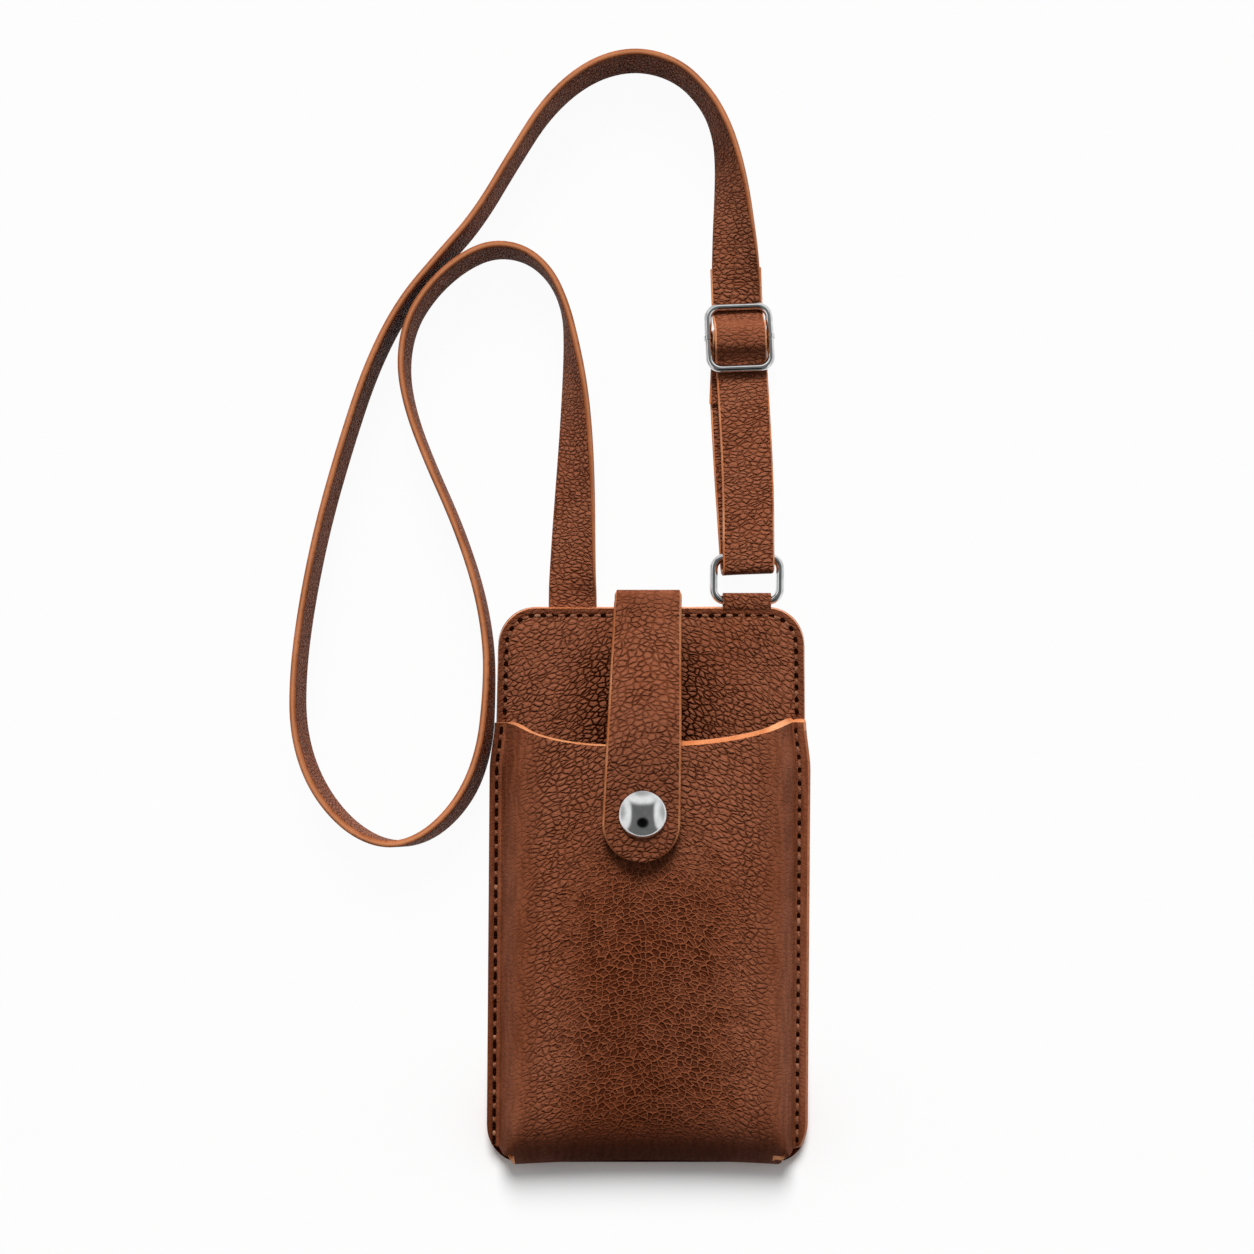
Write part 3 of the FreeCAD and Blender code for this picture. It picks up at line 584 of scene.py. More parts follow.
# the last leg, from the ring to above the slider; its routes are millimetres up from the ring's upper bar,
# to the right, and above the table
leg = {
    "x": 31.0, "y": 104.83, "lean": math.radians(2.1), "width": 16.4, "endThickness": 1.0,
    # behind the slider's upper bar, over its centre bar, behind its lower bar
    "bight": [
        (93, 0, 1.05), (86, 0, 1.05), (78.4, 0, 1.05), (74.6, 0.05, 5.2), (72.6, 0.1, 8.9), (67.4, 0.15, 8.9),
        (65.0, 0.25, 6.6), (61.6, 0.4, 4.3), (53, 0.6, 4.75), (48, 0.7, 4.95)],
    "overBar": (4.5, 7.5), "barStretch": 0.7,
    "frontRun": [(48, 0.7, 4.95), (40, 0.85, 5.3), (32, 0.95, 5.64), (22, 0.9, 6.05)],
    "ringFold": [
        (22, 0.9, 6.05), (16, 0.8, 6.3), (8, 0.5, 6.65), (2, 0.3, 6.75), (-4.2, 0.2, 6.7), (-4.5, 0, 3.8),
        (-4.2, -0.3, 1.05), (4, -0.5, 1.05), (14, -0.8, 1.05), (22, -1.05, 1.05)],
    "returnRun": [(22, -1.05, 1.05), (32, -1.3, 1.05), (42, -1.5, 1.05), (50, -1.6, 1.05)],
    # the pared end, up behind the centre bar, round it and back down on itself
    "endLoop": [
        (48.6, -1.6, 1.55), (56, -1.3, 1.55), (62, -0.9, 1.6), (67, -0.5, 2.6), (72.0, -0.3, 3.3),
        (72.2, -0.3, 5.2), (72.0, -0.3, 7.2), (68.5, -0.4, 7.0), (65.5, -0.7, 4.2), (62, -1.0, 2.75),
        (56, -1.5, 2.6), (49, -2.0, 2.6)],
}


def restingHeight(roll):
    angle = math.radians(roll)
    return (strap["width"] * math.sin(angle) + strap["thickness"] * abs(math.cos(angle))) / 2


def readSpline(points, resolution=8):
    curve = bpy.data.curves.new("route", "CURVE")
    curve.dimensions = "3D"
    curve.resolution_u = resolution
    spline = curve.splines.new("NURBS")
    spline.points.add(len(points) - 1)
    for knot, place in zip(spline.points, points):
        knot.co = (*place, 1)
    spline.order_u = 3
    spline.use_endpoint_u = True
    holder = bpy.data.objects.new("route", curve)
    line = bpy.data.meshes.new_from_object(holder)
    found = [v.co.copy() for v in line.vertices]
    bpy.data.objects.remove(holder)
    bpy.data.curves.remove(curve)
    bpy.data.meshes.remove(line)
    return found


def strapSection(width, thickness):
    # the strip's section, anticlockwise: lower face, right edge, upper face, left edge
    flat = width / 2 - strap["edgeCrown"]
    half = thickness / 2
    steps = strap["faceSteps"]
    lower = [(-flat + 2 * flat * i / steps, -half) for i in range(steps + 1)]
    turns = [math.pi * (i + 1) / (strap["edgeSteps"] + 1) - math.pi / 2 for i in range(strap["edgeSteps"])]
    rightEdge = [(flat + strap["edgeCrown"] * math.cos(a), half * math.sin(a)) for a in turns]
    upper = [(-across, half) for across, down in lower]
    leftEdge = [(-across, -down) for across, down in rightEdge]
    return lower + rightEdge + upper + leftEdge


def stripAlong(name, centres, sides, width, thickness, edge, startAt=0.0):
    # a strip of leather along a line, with its width along the sides' directions
    section = strapSection(width, thickness)
    count, last = len(section), len(centres) - 1
    corners, faces, marks = [], [], []
    for i, centre in enumerate(centres):
        way = (centres[min(i + 1, last)] - centres[max(i - 1, 0)]).normalized()
        across = sides[i] - way * sides[i].dot(way)
        across.normalize()
        up = across.cross(way)
        corners += [centre + across * a + up * b for a, b in section]
    for i in range(last):
        for k in range(count):
            n = (k + 1) % count
            faces.append((i * count + k, i * count + n, (i + 1) * count + n, (i + 1) * count + k))
            marks.append((i, k))
    faces.append(tuple(reversed(range(count))))
    faces.append(tuple(range(last * count, last * count + count)))
    mesh = bpy.data.meshes.new(name)
    mesh.from_pydata(corners, [], faces)

    # the leather's pattern runs along the strip's length, and edges get their own material
    lengths = runningLengths(centres, startAt)
    around = runningLengths([Vector(s) for s in section + section[:1]])
    isEdge = [strap["faceSteps"] <= k % (count // 2) for k in range(count)]
    uv = mesh.uv_layers.new(name=strapUv)
    for polygon, (i, k) in zip(mesh.polygons, marks):
        polygon.material_index = 1 if isEdge[k] else 0
        places = [(around[k], lengths[i]), (around[k + 1], lengths[i]),
                  (around[k + 1], lengths[i + 1]), (around[k], lengths[i + 1])]
        for loop, (a, b) in zip(polygon.loop_indices, places):
            uv.data[loop].uv = (a * mm, b * mm)
    for polygon in mesh.polygons[-2:]:
        polygon.material_index = 1
    flat = width / 2 - strap["edgeCrown"]
    crown = [max(abs(a) - flat, 0.0) / strap["edgeCrown"] for a, b in section]
    mesh.attributes.new("crown", "FLOAT", "POINT").data.foreach_set("value", crown * len(centres))
    piece = addPiece(name, mesh)
    faceOutward(piece)
    smoothByAngle(piece, 48)
    toMetres(piece)
    dress(piece, "strap_leather", strapLeather, edge)
    return piece


def rollingLines(route, heights):
    # two splines with the same knots: the strip's middle and its raised edge
    middle, raised = [], []
    for i, (x, y, roll) in enumerate(route):
        before, after = route[max(i - 1, 0)], route[min(i + 1, len(route) - 1)]
        way = Vector((after[0] - before[0], after[1] - before[1], 0)).normalized()
        right = Vector((way.y, -way.x, 0))
        angle = math.radians(roll)
        across = right * math.cos(angle) + Vector((0, 0, math.sin(angle)))
        centre = Vector((x, strap["topEdge"] + y, heights[i]))
        middle.append(centre)
        raised.append(centre + across * strap["width"] / 2)
    centres = readSpline(middle)
    return centres, [b - a for a, b in zip(centres, readSpline(raised))]


def legPoint(along, side, height):
    lean = leg["lean"]
    return Vector((leg["x"] - math.sin(lean) * along + math.cos(lean) * side,
                   leg["y"] + math.cos(lean) * along + math.sin(lean) * side, height))


def legStrip(name, route, node, thickness=strap["thickness"]):
    centres = readSpline([legPoint(*p) for p in route], 10)
    across = legPoint(0, 1, 0) - legPoint(0, 0, 0)
    strip = stripAlong(name, centres, [across] * len(centres), leg["width"], thickness, tanEdge)
    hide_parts(node)
    return strip


def addStrap():
    size = (strap["width"], strap["thickness"], strapEdge)
    heights = [restingHeight(roll) for x, y, roll in strap["shoulder"]]
    heights[0] = strap["caughtHeight"]
    centres, sides = rollingLines(strap["shoulder"], heights)
    split = max(i for i, p in enumerate(centres) if p.y > strap["splitAt"])
    line = centres[:split + 1]
    length = runningLengths(line)[-1]
    shoulder = stripAlong("shoulderStrap", line, sides[:split + 1], *size)
    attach(shoulder, "pouch")
    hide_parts("strap_anchor_end", "shoulder_strap")
    sliderLeg = stripAlong("strapSliderLeg", centres[split:], sides[split:], *size, length)
    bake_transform(sliderLeg)
    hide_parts("strap_slider_leg")

    bight = legStrip("strapBight", leg["bight"], "strap_bight")
    low, high = leg["overBar"]
    paintPoints(bight, "stretched", lambda p: leg["barStretch"] * blendStep(p.z, low * mm, high * mm))
    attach(bight, "slider")
    frontRun = legStrip("strapFrontRun", leg["frontRun"], "strap_front_run")
    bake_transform(frontRun)
    ringFold = legStrip("strapRingFold", leg["ringFold"], "strap_ring_fold")
    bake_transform(ringFold)
    returnRun = legStrip("strapReturnRun", leg["returnRun"], "strap_return_run")
    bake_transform(returnRun)
    endLoop = legStrip("strapEndLoop", leg["endLoop"], "strap_end_loop", leg["endThickness"])
    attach(endLoop, "slider")

    path = [tuple(p * mm) for p in line]
    print("strap laid, shoulder stretch %.0f mm" % length)


addStrap()


# leather sheets: a grid is pulled to its outline and height, then given its thickness and a cut edge

pouch = {
    "halfHeight": 89.0, "topHalf": 49.0, "mouthHalf": 49.5, "lowerHalf": 51.0,
    "topRadius": 12.0, "bottomRadius": 10.0, "mouth": 52.5, "flare": 16.0, "lean": 0.0075, "leanFrom": 20.0,
    "backThickness": 1.5, "facingThickness": 2.0, "seamInset": 2.8, "crowding": 1.8,
}


def halfWidth(y):
    # nearly straight above the pocket, a little wider where the pocket is sewn on
    if y > pouch["mouth"]:
        share = (pouch["halfHeight"] - y) / (pouch["halfHeight"] - pouch["mouth"])
        return pouch["topHalf"] + (pouch["mouthHalf"] - pouch["topHalf"]) * share
    flare = blendStep(pouch["mouth"] - y, 0.0, pouch["flare"])
    return pouch["mouthHalf"] + (pouch["lowerHalf"] - pouch["mouthHalf"]) * flare


def leanAt(y):
    # the pouch lies very slightly turned
    return pouch["lean"] * (y - pouch["leanFrom"])


def crowdEnds(t, power):
    # spread evenly in the middle, close together towards both ends
    return math.copysign(1 - (1 - abs(t)) ** power, t)


def cornerDrop(x, half, radius):
    # how far a rounded corner takes the outline back at x
    over = abs(x) - (half - radius)
    if over <= 0:
        return 0.0
    return radius - math.sqrt(max(radius ** 2 - over ** 2, 0.0))


def edgeDistance(x, y):
    # distance inside the panel's outline
    radius = pouch["topRadius"] if y > 0 else pouch["bottomRadius"]
    dx, dy = halfWidth(y) - abs(x), pouch["halfHeight"] - abs(y)
    if dx < radius and dy < radius:
        return radius - math.hypot(radius - dx, radius - dy)
    return min(dx, dy)


def pulledGrid(name, columns, rows, place):
    clearSelection()
    bpy.ops.mesh.primitive_grid_add(x_subdivisions=columns, y_subdivisions=rows, size=2)
    sheet = bpy.context.object
    sheet.name = sheet.data.name = name
    for v in sheet.data.vertices:
        v.co = place(v.co.x, v.co.y)
    return sheet


def outwardWays(sheet):
    # for each point on the sheet's border, the direction out of the sheet
    mesh = bmesh.new()
    mesh.from_mesh(sheet.data)
    ways = {}
    for edge in mesh.edges:
        if edge.is_boundary:
            face = edge.link_faces[0]
            first, second = edge.verts
            out = (second.co - first.co).cross(face.normal).normalized()
            if out.dot(first.co - face.calc_center_median()) < 0:
                out.negate()
            for v in edge.verts:
                ways[v.index] = ways.get(v.index, Vector()) + out
    mesh.free()
    return ways


def thicken(sheet, thickness, slant, offset=-1.0, rounding=0.22, sharpest=38):
    # thickness with a tan rim; the far side reaches further out, so that the cut edge shows from the front
    front = len(sheet.data.vertices)
    outward = outwardWays(sheet)
    for empty in range(2):
        sheet.data.materials.append(None)
    applyModifier(sheet, "SOLIDIFY", thickness=thickness, offset=offset, use_even_offset=True,
                  use_quality_normals=True, material_offset_rim=1)
    for index, out in outward.items():
        v = sheet.data.vertices[index + front]
        v.co += out.normalized() * bySide(slant, v.co.x)
    applyModifier(sheet, "BEVEL", width=rounding, segments=2, limit_method="ANGLE",
                  angle_limit=math.radians(sharpest), use_clamp_overlap=True)
    smoothByAngle(sheet, 50)


def finishSheet(sheet, nodes, *edges):
    toMetres(sheet)
    dress(sheet, "pouch_leather", pouchLeather, *edges)
    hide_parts(*nodes)


def ripple(x, y, size, seed):
    return noise.noise(Vector((x / size, y / size, seed)))


def panelPlace(u, v, inset):
    half = pouch["halfHeight"] - inset
    wide = halfWidth(0) - inset
    x = crowdEnds(u, pouch["crowding"]) * wide
    low = -half + cornerDrop(x, wide, pouch["bottomRadius"])
    high = half - cornerDrop(x, wide, pouch["topRadius"])
    y = low + (high - low) * (crowdEnds(v, pouch["crowding"]) + 1) / 2
    return x * (halfWidth(y) - inset) / wide, y


facing = {
    "inset": 0.5, "seamDepth": 0.45, "seamWidth": 0.55, "slant": (0.55, 0.55), "gap": 0.05,
    "columns": 110, "rows": 170, "puff": 0.5, "puffWidth": 5, "puffRises": (40, 60),
    # the caught strap end and the ring loop push the leather up a little
    "caught": 0.22, "caughtRises": (73, 76), "caughtSoft": 1.2, "caughtAt": ((-24.8, 8.4), (31.0, 8.2)),
    "wave": 0.12, "waveSize": 14,
    # soft folds, more creased leather and painted shade at both sides of the tab, as patches
    "folds": (0.28, -1.5, 15, 7, 44, 60), "foldSize": 9, "foldWays": (2.2, 0.7),
    "creases": (1.5, -1.5, 11, 14, 86, 66), "tabShade": (0.14, -1.5, 12, 7, 84, 59),
    "hiddenShade": 0.8, "hiddenFrom": (-76, -80), "rimShade": 0.35, "rimStretch": 0.7, "rimSoft": (1.0, 0.8),
}
back = {"seamDepth": 0.3, "seamWidth": 0.6, "slant": (-0.15, -0.15), "columns": 90, "rows": 130}


def facingHeight(x, y):
    inside = edgeDistance(x, y)
    seam = pouch["seamInset"]
    base = pouch["backThickness"] + pouch["facingThickness"]
    puff = facing["puff"] * blendStep(inside, seam, seam + facing["puffWidth"])
    puff *= blendStep(y, *facing["puffRises"])
    groove = facing["seamDepth"] * bell(inside, seam, facing["seamWidth"])
    lift = sum(blendStep(half - abs(x - at), 0, facing["caughtSoft"]) for at, half in facing["caughtAt"])
    caught = facing["caught"] * blendStep(y, *facing["caughtRises"]) * lift
    across, along = facing["foldWays"]
    folds = patch(x, y, *facing["folds"]) * ripple(x * across, y * along, facing["foldSize"], 3)
    return base + puff - groove + caught + folds + facing["wave"] * ripple(x, y, facing["waveSize"], 5)


def addPanels():
    seam = pouch["seamInset"]

    def facingPlace(u, v):
        x, y = panelPlace(u, v, facing["inset"])
        return Vector((x + leanAt(y), y, facingHeight(x, y)))

    def facingShade(p):
        rim = facing["rimShade"] * blendStep(edgeDistance(p.x, p.y), seam + facing["rimSoft"][0], seam)
        hidden = facing["hiddenShade"] * blendStep(p.y, *facing["hiddenFrom"])
        return rim + patch(p.x, p.y, *facing["tabShade"]) + hidden

    def facingStretch(p):
        return facing["rimStretch"] * blendStep(edgeDistance(p.x, p.y), seam, seam - facing["rimSoft"][1])

    def backPlace(u, v):
        x, y = panelPlace(u, v, 0.0)
        groove = back["seamDepth"] * bell(edgeDistance(x, y), seam, back["seamWidth"])
        return Vector((leanAt(y) - x, y, groove))

    sheet = pulledGrid("facingPanel", facing["columns"], facing["rows"], facingPlace)
    thicken(sheet, pouch["facingThickness"] - facing["gap"], facing["slant"])
    paintPoints(sheet, "shaded", facingShade)
    paintPoints(sheet, "creased", lambda p: patch(p.x, p.y, *facing["creases"]))
    paintPoints(sheet, "stretched", facingStretch)
    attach(sheet, "pouch")
    finishSheet(sheet, ["facing_panel"], tanEdge)
    sheet = pulledGrid("backPanel", back["columns"], back["rows"], backPlace)
    thicken(sheet, pouch["backThickness"], back["slant"])
    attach(sheet, "pouch")
    finishSheet(sheet, ["back_panel"], tanEdge)
    print("panels made")


addPanels()

pocket = {
    "scallopBottom": 46.0, "scallopRise": 6.6, "scallopSoft": 2.2, "bottom": -88.7, "bottomArch": 1.3,
    "cornerRadius": 13.0, "flangeTop": 5.0, "front": 19.5, "wall": 1.5, "sideRun": 11.0, "bottomRun": 24.0,
    "wallCurve": (2.3, 0.92), "cornerSharp": 14.0, "columns": 150, "rows": 150, "crowding": (1.35, 1.25),
    # left and right: where the scallop turns up and how sharply, the flange, its seam and its edges
    "reach": ((43.4, 3.3), (45.0, 2.4)), "flange": (3.7, 4.5), "seamInset": (2.0, 3.4),
    "overhang": (0.3, -0.8), "slant": (0.0, 1.0), "edgeShow": (0.45, 0.30), "flangeShade": (0.34, 0.10),
    # left and right: the step in the lower edge where the wall ends
    "notchAt": (42.6, 42.7), "notchRise": (4.4, 3.7), "notchSlope": (0.30, 0.40), "notchWidth": 0.8,
    # a slight swell and wave of the front, and the groove under the thread
    "crown": 0.9, "crownHalf": 40, "crownAt": (-38, 42), "wave": 0.16, "waveSize": 22,
    "seamDepth": 0.4, "seamWidth": 0.55, "seamEnds": (-86, -80),
    # painted light on the cut edges at the two lower corners, which lie in shade: across and above the notch
    "litEdgeAcross": (-0.6, 1.4), "litEdgeAbove": 0.4, "blockAcross": (-3.4, 0.4), "blockAbove": (2.8, 4.9),
    # the rim that belongs to the flanges, and the part of the mouth whose cut edge leans back
    "flangeRim": 3, "leanEnds": 6, "leanReach": 0.6, "leanRun": 0.5, "leanDepth": (0.2, 1.3),
    # masks of the leather: from where to where they rise, or their centre and width
    "pitsAcross": (42, 10), "pitsRise": (-86, -64), "pitsFade": (38, -16),
    "creases": (0.75, -26, 0, 16, 0, 40),
    "wallStretch": (17, 5), "bottomStretch": (-68, -84),
    "seamShade": 0.55, "shoulderShade": 0.16, "shoulderAt": (10.5, 3.0), "frontShade": 0.19,
    "frontAcross": (0, 28), "frontAlong": (-66, 30),
    "bottomShade": 0.66, "bottomFades": (-62, -84), "cornerLight": 0.45, "cornersAcross": (22, 40),
}


def mouthLine(x):
    # a wide flat scallop that turns up to a soft shoulder near each side
    half, power = bySide(pocket["reach"], x)
    rise = pocket["scallopRise"] * min(abs(x) / half, 1.3) ** power
    top = pouch["mouth"] - pocket["scallopBottom"]
    soft = pocket["scallopSoft"]
    return pocket["scallopBottom"] - math.log(math.exp(-soft * rise) + math.exp(-soft * top)) / soft


def notch(x):
    # where the lower edge steps up to the flange, how far, and its slope beyond
    return [bySide(pocket[key], x) for key in ("notchAt", "notchRise", "notchSlope")]


def bottomArch(x):
    return pocket["bottomArch"] * max(1 - (x / notch(x)[0]) ** 2, 0)


def pocketBottom(x):
    at, rise, slope = notch(x)
    if abs(x) < at:
        return pocket["bottom"] + bottomArch(x)
    past = at + pocket["notchWidth"]
    step = rise * blendStep(abs(x), at, past) + slope * max(abs(x) - past, 0.0)
    corner = cornerDrop(x, pouch["lowerHalf"], pocket["cornerRadius"]) - pouch["halfHeight"]
    return max(pocket["bottom"] + step, corner)


def moulded(distance, run):
    # height share of a drawn wall: steep at its foot, rounding over to the front
    t = min(max(distance / run, 0.0), 1.0)
    rounding, lift = pocket["wallCurve"]
    return (1 - (1 - t) ** rounding) ** lift


def pocketHeight(x, y):
    inside = halfWidth(y) - abs(x)
    side = moulded(inside - bySide(pocket["flange"], x), pocket["sideRun"])
    low = moulded(y - pocket["bottom"] - bottomArch(x), pocket["bottomRun"])
    sharp = pocket["cornerSharp"]
    share = -math.log(math.exp(-sharp * side) + math.exp(-sharp * low)) / sharp
    share = min(max(share, 0.0), 1.0)
    swell = pocket["front"] - pocket["flangeTop"]
    swell += pocket["crown"] * max(1 - (x / pocket["crownHalf"]) ** 2, 0) * bell(y, *pocket["crownAt"])
    swell += pocket["wave"] * ripple(x, y, pocket["waveSize"], 1)
    groove = pocket["seamDepth"] * bell(inside, bySide(pocket["seamInset"], x), pocket["seamWidth"])
    return pocket["flangeTop"] + swell * share - groove * blendStep(y, *pocket["seamEnds"])


def markEdges(sheet):
    # materials of the pocket's cut edges: 1 its mouth, 2 the corners' edges painted brighter as painted
    # light, 3 its flanges
    sheet.data.materials.append(None)
    sheet.data.materials.append(None)
    for polygon in sheet.data.polygons:
        y = polygon.center.y
        x = polygon.center.x - leanAt(y)
        at, rise, slope = notch(x)
        above, across = y - pocket["bottom"], abs(x) - at
        inBlock = between(across, pocket["blockAcross"]) and between(above, pocket["blockAbove"])
        onFlange = abs(x) > halfWidth(y) - pocket["flangeRim"] and y < pouch["mouth"] - pocket["flangeRim"]
        if between(across, pocket["litEdgeAcross"]) and above < rise + pocket["litEdgeAbove"]:
            polygon.material_index = 2
        elif inBlock and x > 0 and polygon.normal.z > 0:
            polygon.material_index = 2
        elif onFlange and polygon.material_index == 1:
            polygon.material_index = 3


def leanMouth(sheet, wide):
    # the cut edge of the mouth leans back, so that it shows from the front
    for v in sheet.data.vertices:
        x = v.co.x - leanAt(v.co.y)
        show = bySide(pocket["edgeShow"], x)
        gap = mouthLine(x) - show - v.co.y
        depth = pocketHeight(x, v.co.y) - v.co.z
        past = pocket["leanReach"] - gap
        if abs(x) < wide - pocket["leanEnds"] and past > 0:
            v.co.y += show * blendStep(depth, *pocket["leanDepth"]) * blendStep(past, 0, pocket["leanRun"])


def addPocket():
    wide = halfWidth(0)
    acrossCrowding, alongCrowding = pocket["crowding"]

    def place(u, v):
        x = crowdEnds(u, acrossCrowding) * wide
        low, high = pocketBottom(x), mouthLine(x) - bySide(pocket["edgeShow"], x)
        y = low + (high - low) * (crowdEnds(v, alongCrowding) + 1) / 2
        x = x * (halfWidth(y) + bySide(pocket["overhang"], x)) / wide
        return Vector((x + leanAt(y), y, pocketHeight(x, y)))

    def past(key, p):
        # how far inside the seam, or inside the wall's foot
        return halfWidth(p.y) - abs(p.x - leanAt(p.y)) - bySide(pocket[key], p.x)

    def pitted(p):
        along = blendStep(p.y, *pocket["pitsRise"]) * blendStep(p.y, *pocket["pitsFade"])
        return blendStep(abs(p.x), *pocket["pitsAcross"]) * along

    def creased(p):
        return patch(p.x, p.y, *pocket["creases"])

    def stretched(p):
        return max(blendStep(past("flange", p), *pocket["wallStretch"]),
                   blendStep(p.y, *pocket["bottomStretch"]))

    def shaded(p):
        seam = past("seamInset", p)
        sides = pocket["seamShade"] * bell(seam, 0, 0.5)
        sides += bySide(pocket["flangeShade"], p.x) * blendStep(-seam, 0.2, 0.6)
        sides += pocket["shoulderShade"] * bell(past("flange", p), *pocket["shoulderAt"])
        corners = 1 - pocket["cornerLight"] * blendStep(abs(p.x), *pocket["cornersAcross"])
        low = pocket["bottomShade"] * blendStep(p.y, *pocket["bottomFades"]) * corners
        front = bell(p.x, *pocket["frontAcross"]) * bell(p.y, *pocket["frontAlong"])
        return sides + low + pocket["frontShade"] * front

    sheet = pulledGrid("frontPocket", pocket["columns"], pocket["rows"], place)
    thicken(sheet, pocket["wall"], pocket["slant"])
    markEdges(sheet)
    leanMouth(sheet, wide)
    masks = {"pebble": pitted, "creased": creased, "stretched": stretched, "shaded": shaded}
    for name, amount in masks.items():
        paintPoints(sheet, name, amount)
    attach(sheet, "pouch")
    finishSheet(sheet, ["front_pocket"], tanEdge, litCornerEdge, flangeEdge)
    print("pocket moulded")


addPocket()

tab = {
    "thickness": 1.6, "topHalf": 10.0, "endHalf": 11.3, "topCentre": -0.6, "endCentre": -3.0, "tip": 11.0,
    # y and z from the caught root, round the fold and down to the tip
    "route": [(80, 2.0), (87, 2.0), (91.6, 2.0), (93.5, 2.3), (93.7, 4.2), (93.5, 6.3), (90.4, 6.6),
              (85, 6.9), (76, 10.2), (64, 15.4), (54, 19.9), (45, 23.4), (37, 23.5), (24, 23.5), (11, 23.5)],
    "foldY": 94.0, "pastFold": 20, "slant": (0.7, 0.7), "columns": 22, "rows": 150,
    # share of the rows in the round end, and how narrow its last row is
    "endShare": 0.24, "endLeast": 0.05,
    "settle": 0.18, "settleAcross": (0.55, 1.0), "settleAlong": (25, 40),
    "foldStretch": 0.8, "foldStretchAt": (93, 6), "shade": 0.24, "shadeFrom": (70, 50),
}


def addTab():
    line = readSpline([Vector((0, y, z)) for y, z in tab["route"]], 12)
    lengths = runningLengths(line)
    whole = lengths[-1]
    straight = whole - tab["endHalf"]
    bodyShare = 1 - tab["endShare"]

    def along(distance):
        for i in range(1, len(line)):
            if lengths[i] >= distance:
                share = (distance - lengths[i - 1]) / (lengths[i] - lengths[i - 1])
                return line[i - 1].lerp(line[i], share)
        return line[-1].copy()

    def place(u, v):
        t = (1 - v) / 2  # the grid's top row is the root
        turn = max(t - bodyShare, 0.0) / tab["endShare"] * math.pi / 2
        distance = straight * min(t / bodyShare, 1.0) + tab["endHalf"] * math.sin(turn)
        p = along(min(distance, whole - 0.001))
        share = 0.0
        if distance > tab["pastFold"]:
            share = (tab["foldY"] - p.y) / (tab["foldY"] - tab["tip"] - tab["endHalf"])
            share = min(max(share, 0.0), 1.0)
        half = tab["topHalf"] + (tab["endHalf"] - tab["topHalf"]) * share
        if turn > 0:
            half = tab["endHalf"] * max(math.cos(turn), tab["endLeast"])
        x = tab["topCentre"] + (tab["endCentre"] - tab["topCentre"]) * share + u * half
        settle = blendStep(abs(u), *tab["settleAcross"]) * blendStep(distance, *tab["settleAlong"])
        return Vector((x, p.y, p.z - tab["settle"] * settle))

    sheet = pulledGrid("closureTab", tab["columns"], tab["rows"], place)
    thicken(sheet, tab["thickness"], tab["slant"], offset=0.0)
    paintPoints(sheet, "stretched", lambda p: tab["foldStretch"] * bell(p.y, *tab["foldStretchAt"]))
    paintPoints(sheet, "shaded", lambda p: tab["shade"] * blendStep(p.y, *tab["shadeFrom"]))
    finishSheet(sheet, ["tab_root", "tab_fold", "closure_tab"], tanEdge)
    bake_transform(sheet)
    print("tab folded")


addTab()


# snap, ring and slider

snap = {"place": (-2.57, 25.4, 24.3), "radius": 7.5, "height": 4.2, "lip": 0.55, "rim": 0.25, "steps": 18,
        # in from the rim, and share of the lip's height
        "lipProfile": ((0.08, 0.95), (0.0, 0.6), (0.06, 0.2), (0.35, 0.0)),
        "postRadius": 1.7, "postDepth": 2.3}
ring = {"width": 23.8, "height": 16.5, "wire": 2.6, "corner": 5.0, "tilt": 5.8}
slider = {"width": 21.9, "height": 23.0, "wire": 2.4, "corner": 5.0, "tilt": 9.5, "along": 70.0, "z": 5.2}
ringLoop = {"centre": 31.0, "half": 7.65, "thickness": 0.66, "barY": 91.0, "barZ": 2.5, "radius": 1.75,
            "nose": 0.42, "drop": 0.42, "columns": 8, "rounding": 0.12}


def turnedPiece(name, profile, steps=72, merge=0.001):
    mesh = bpy.data.meshes.new(name)
    mesh.from_pydata([(r, 0, h) for r, h in profile], [(i, i + 1) for i in range(len(profile) - 1)], [])
    piece = addPiece(name, mesh)
    applyModifier(piece, "SCREW", axis="Z", steps=steps, render_steps=steps, use_merge_vertices=True,
                  merge_threshold=merge, use_normal_calculate=True)
    faceOutward(piece, merge)
    smoothByAngle(piece, 40)
    return piece


def wireLoop(name, size):
    # a plane with rounded corners becomes a bent round wire
    clearSelection()
    bpy.ops.mesh.primitive_plane_add(size=1)
    bpy.ops.object.mode_set(mode="EDIT")
    bpy.ops.mesh.select_all(action="SELECT")
    bpy.ops.transform.resize(value=(size["width"] - size["wire"], size["height"] - size["wire"], 1))
    bpy.ops.mesh.bevel(offset=size["corner"] - size["wire"] / 2, segments=10, affect="VERTICES")
    bpy.ops.mesh.select_all(action="SELECT")
    bpy.ops.mesh.delete(type="ONLY_FACE")
    bpy.ops.object.mode_set(mode="OBJECT")
    bpy.ops.object.convert(target="CURVE")
    curve = bpy.context.object.data
    curve.bevel_depth = size["wire"] / 2
    curve.bevel_resolution = 6
    curve.use_fill_caps = False
    bpy.ops.object.convert(target="MESH")
    loop = bpy.context.object
    loop.name = loop.data.name = name
    smoothByAngle(loop, 60)
    return loop


def placeMetal(piece, place, body, node):
    piece.data.transform(place)
    toMetres(piece)
    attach(piece, body)
    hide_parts(node)
    dress(piece, "polished_metal", nickel)


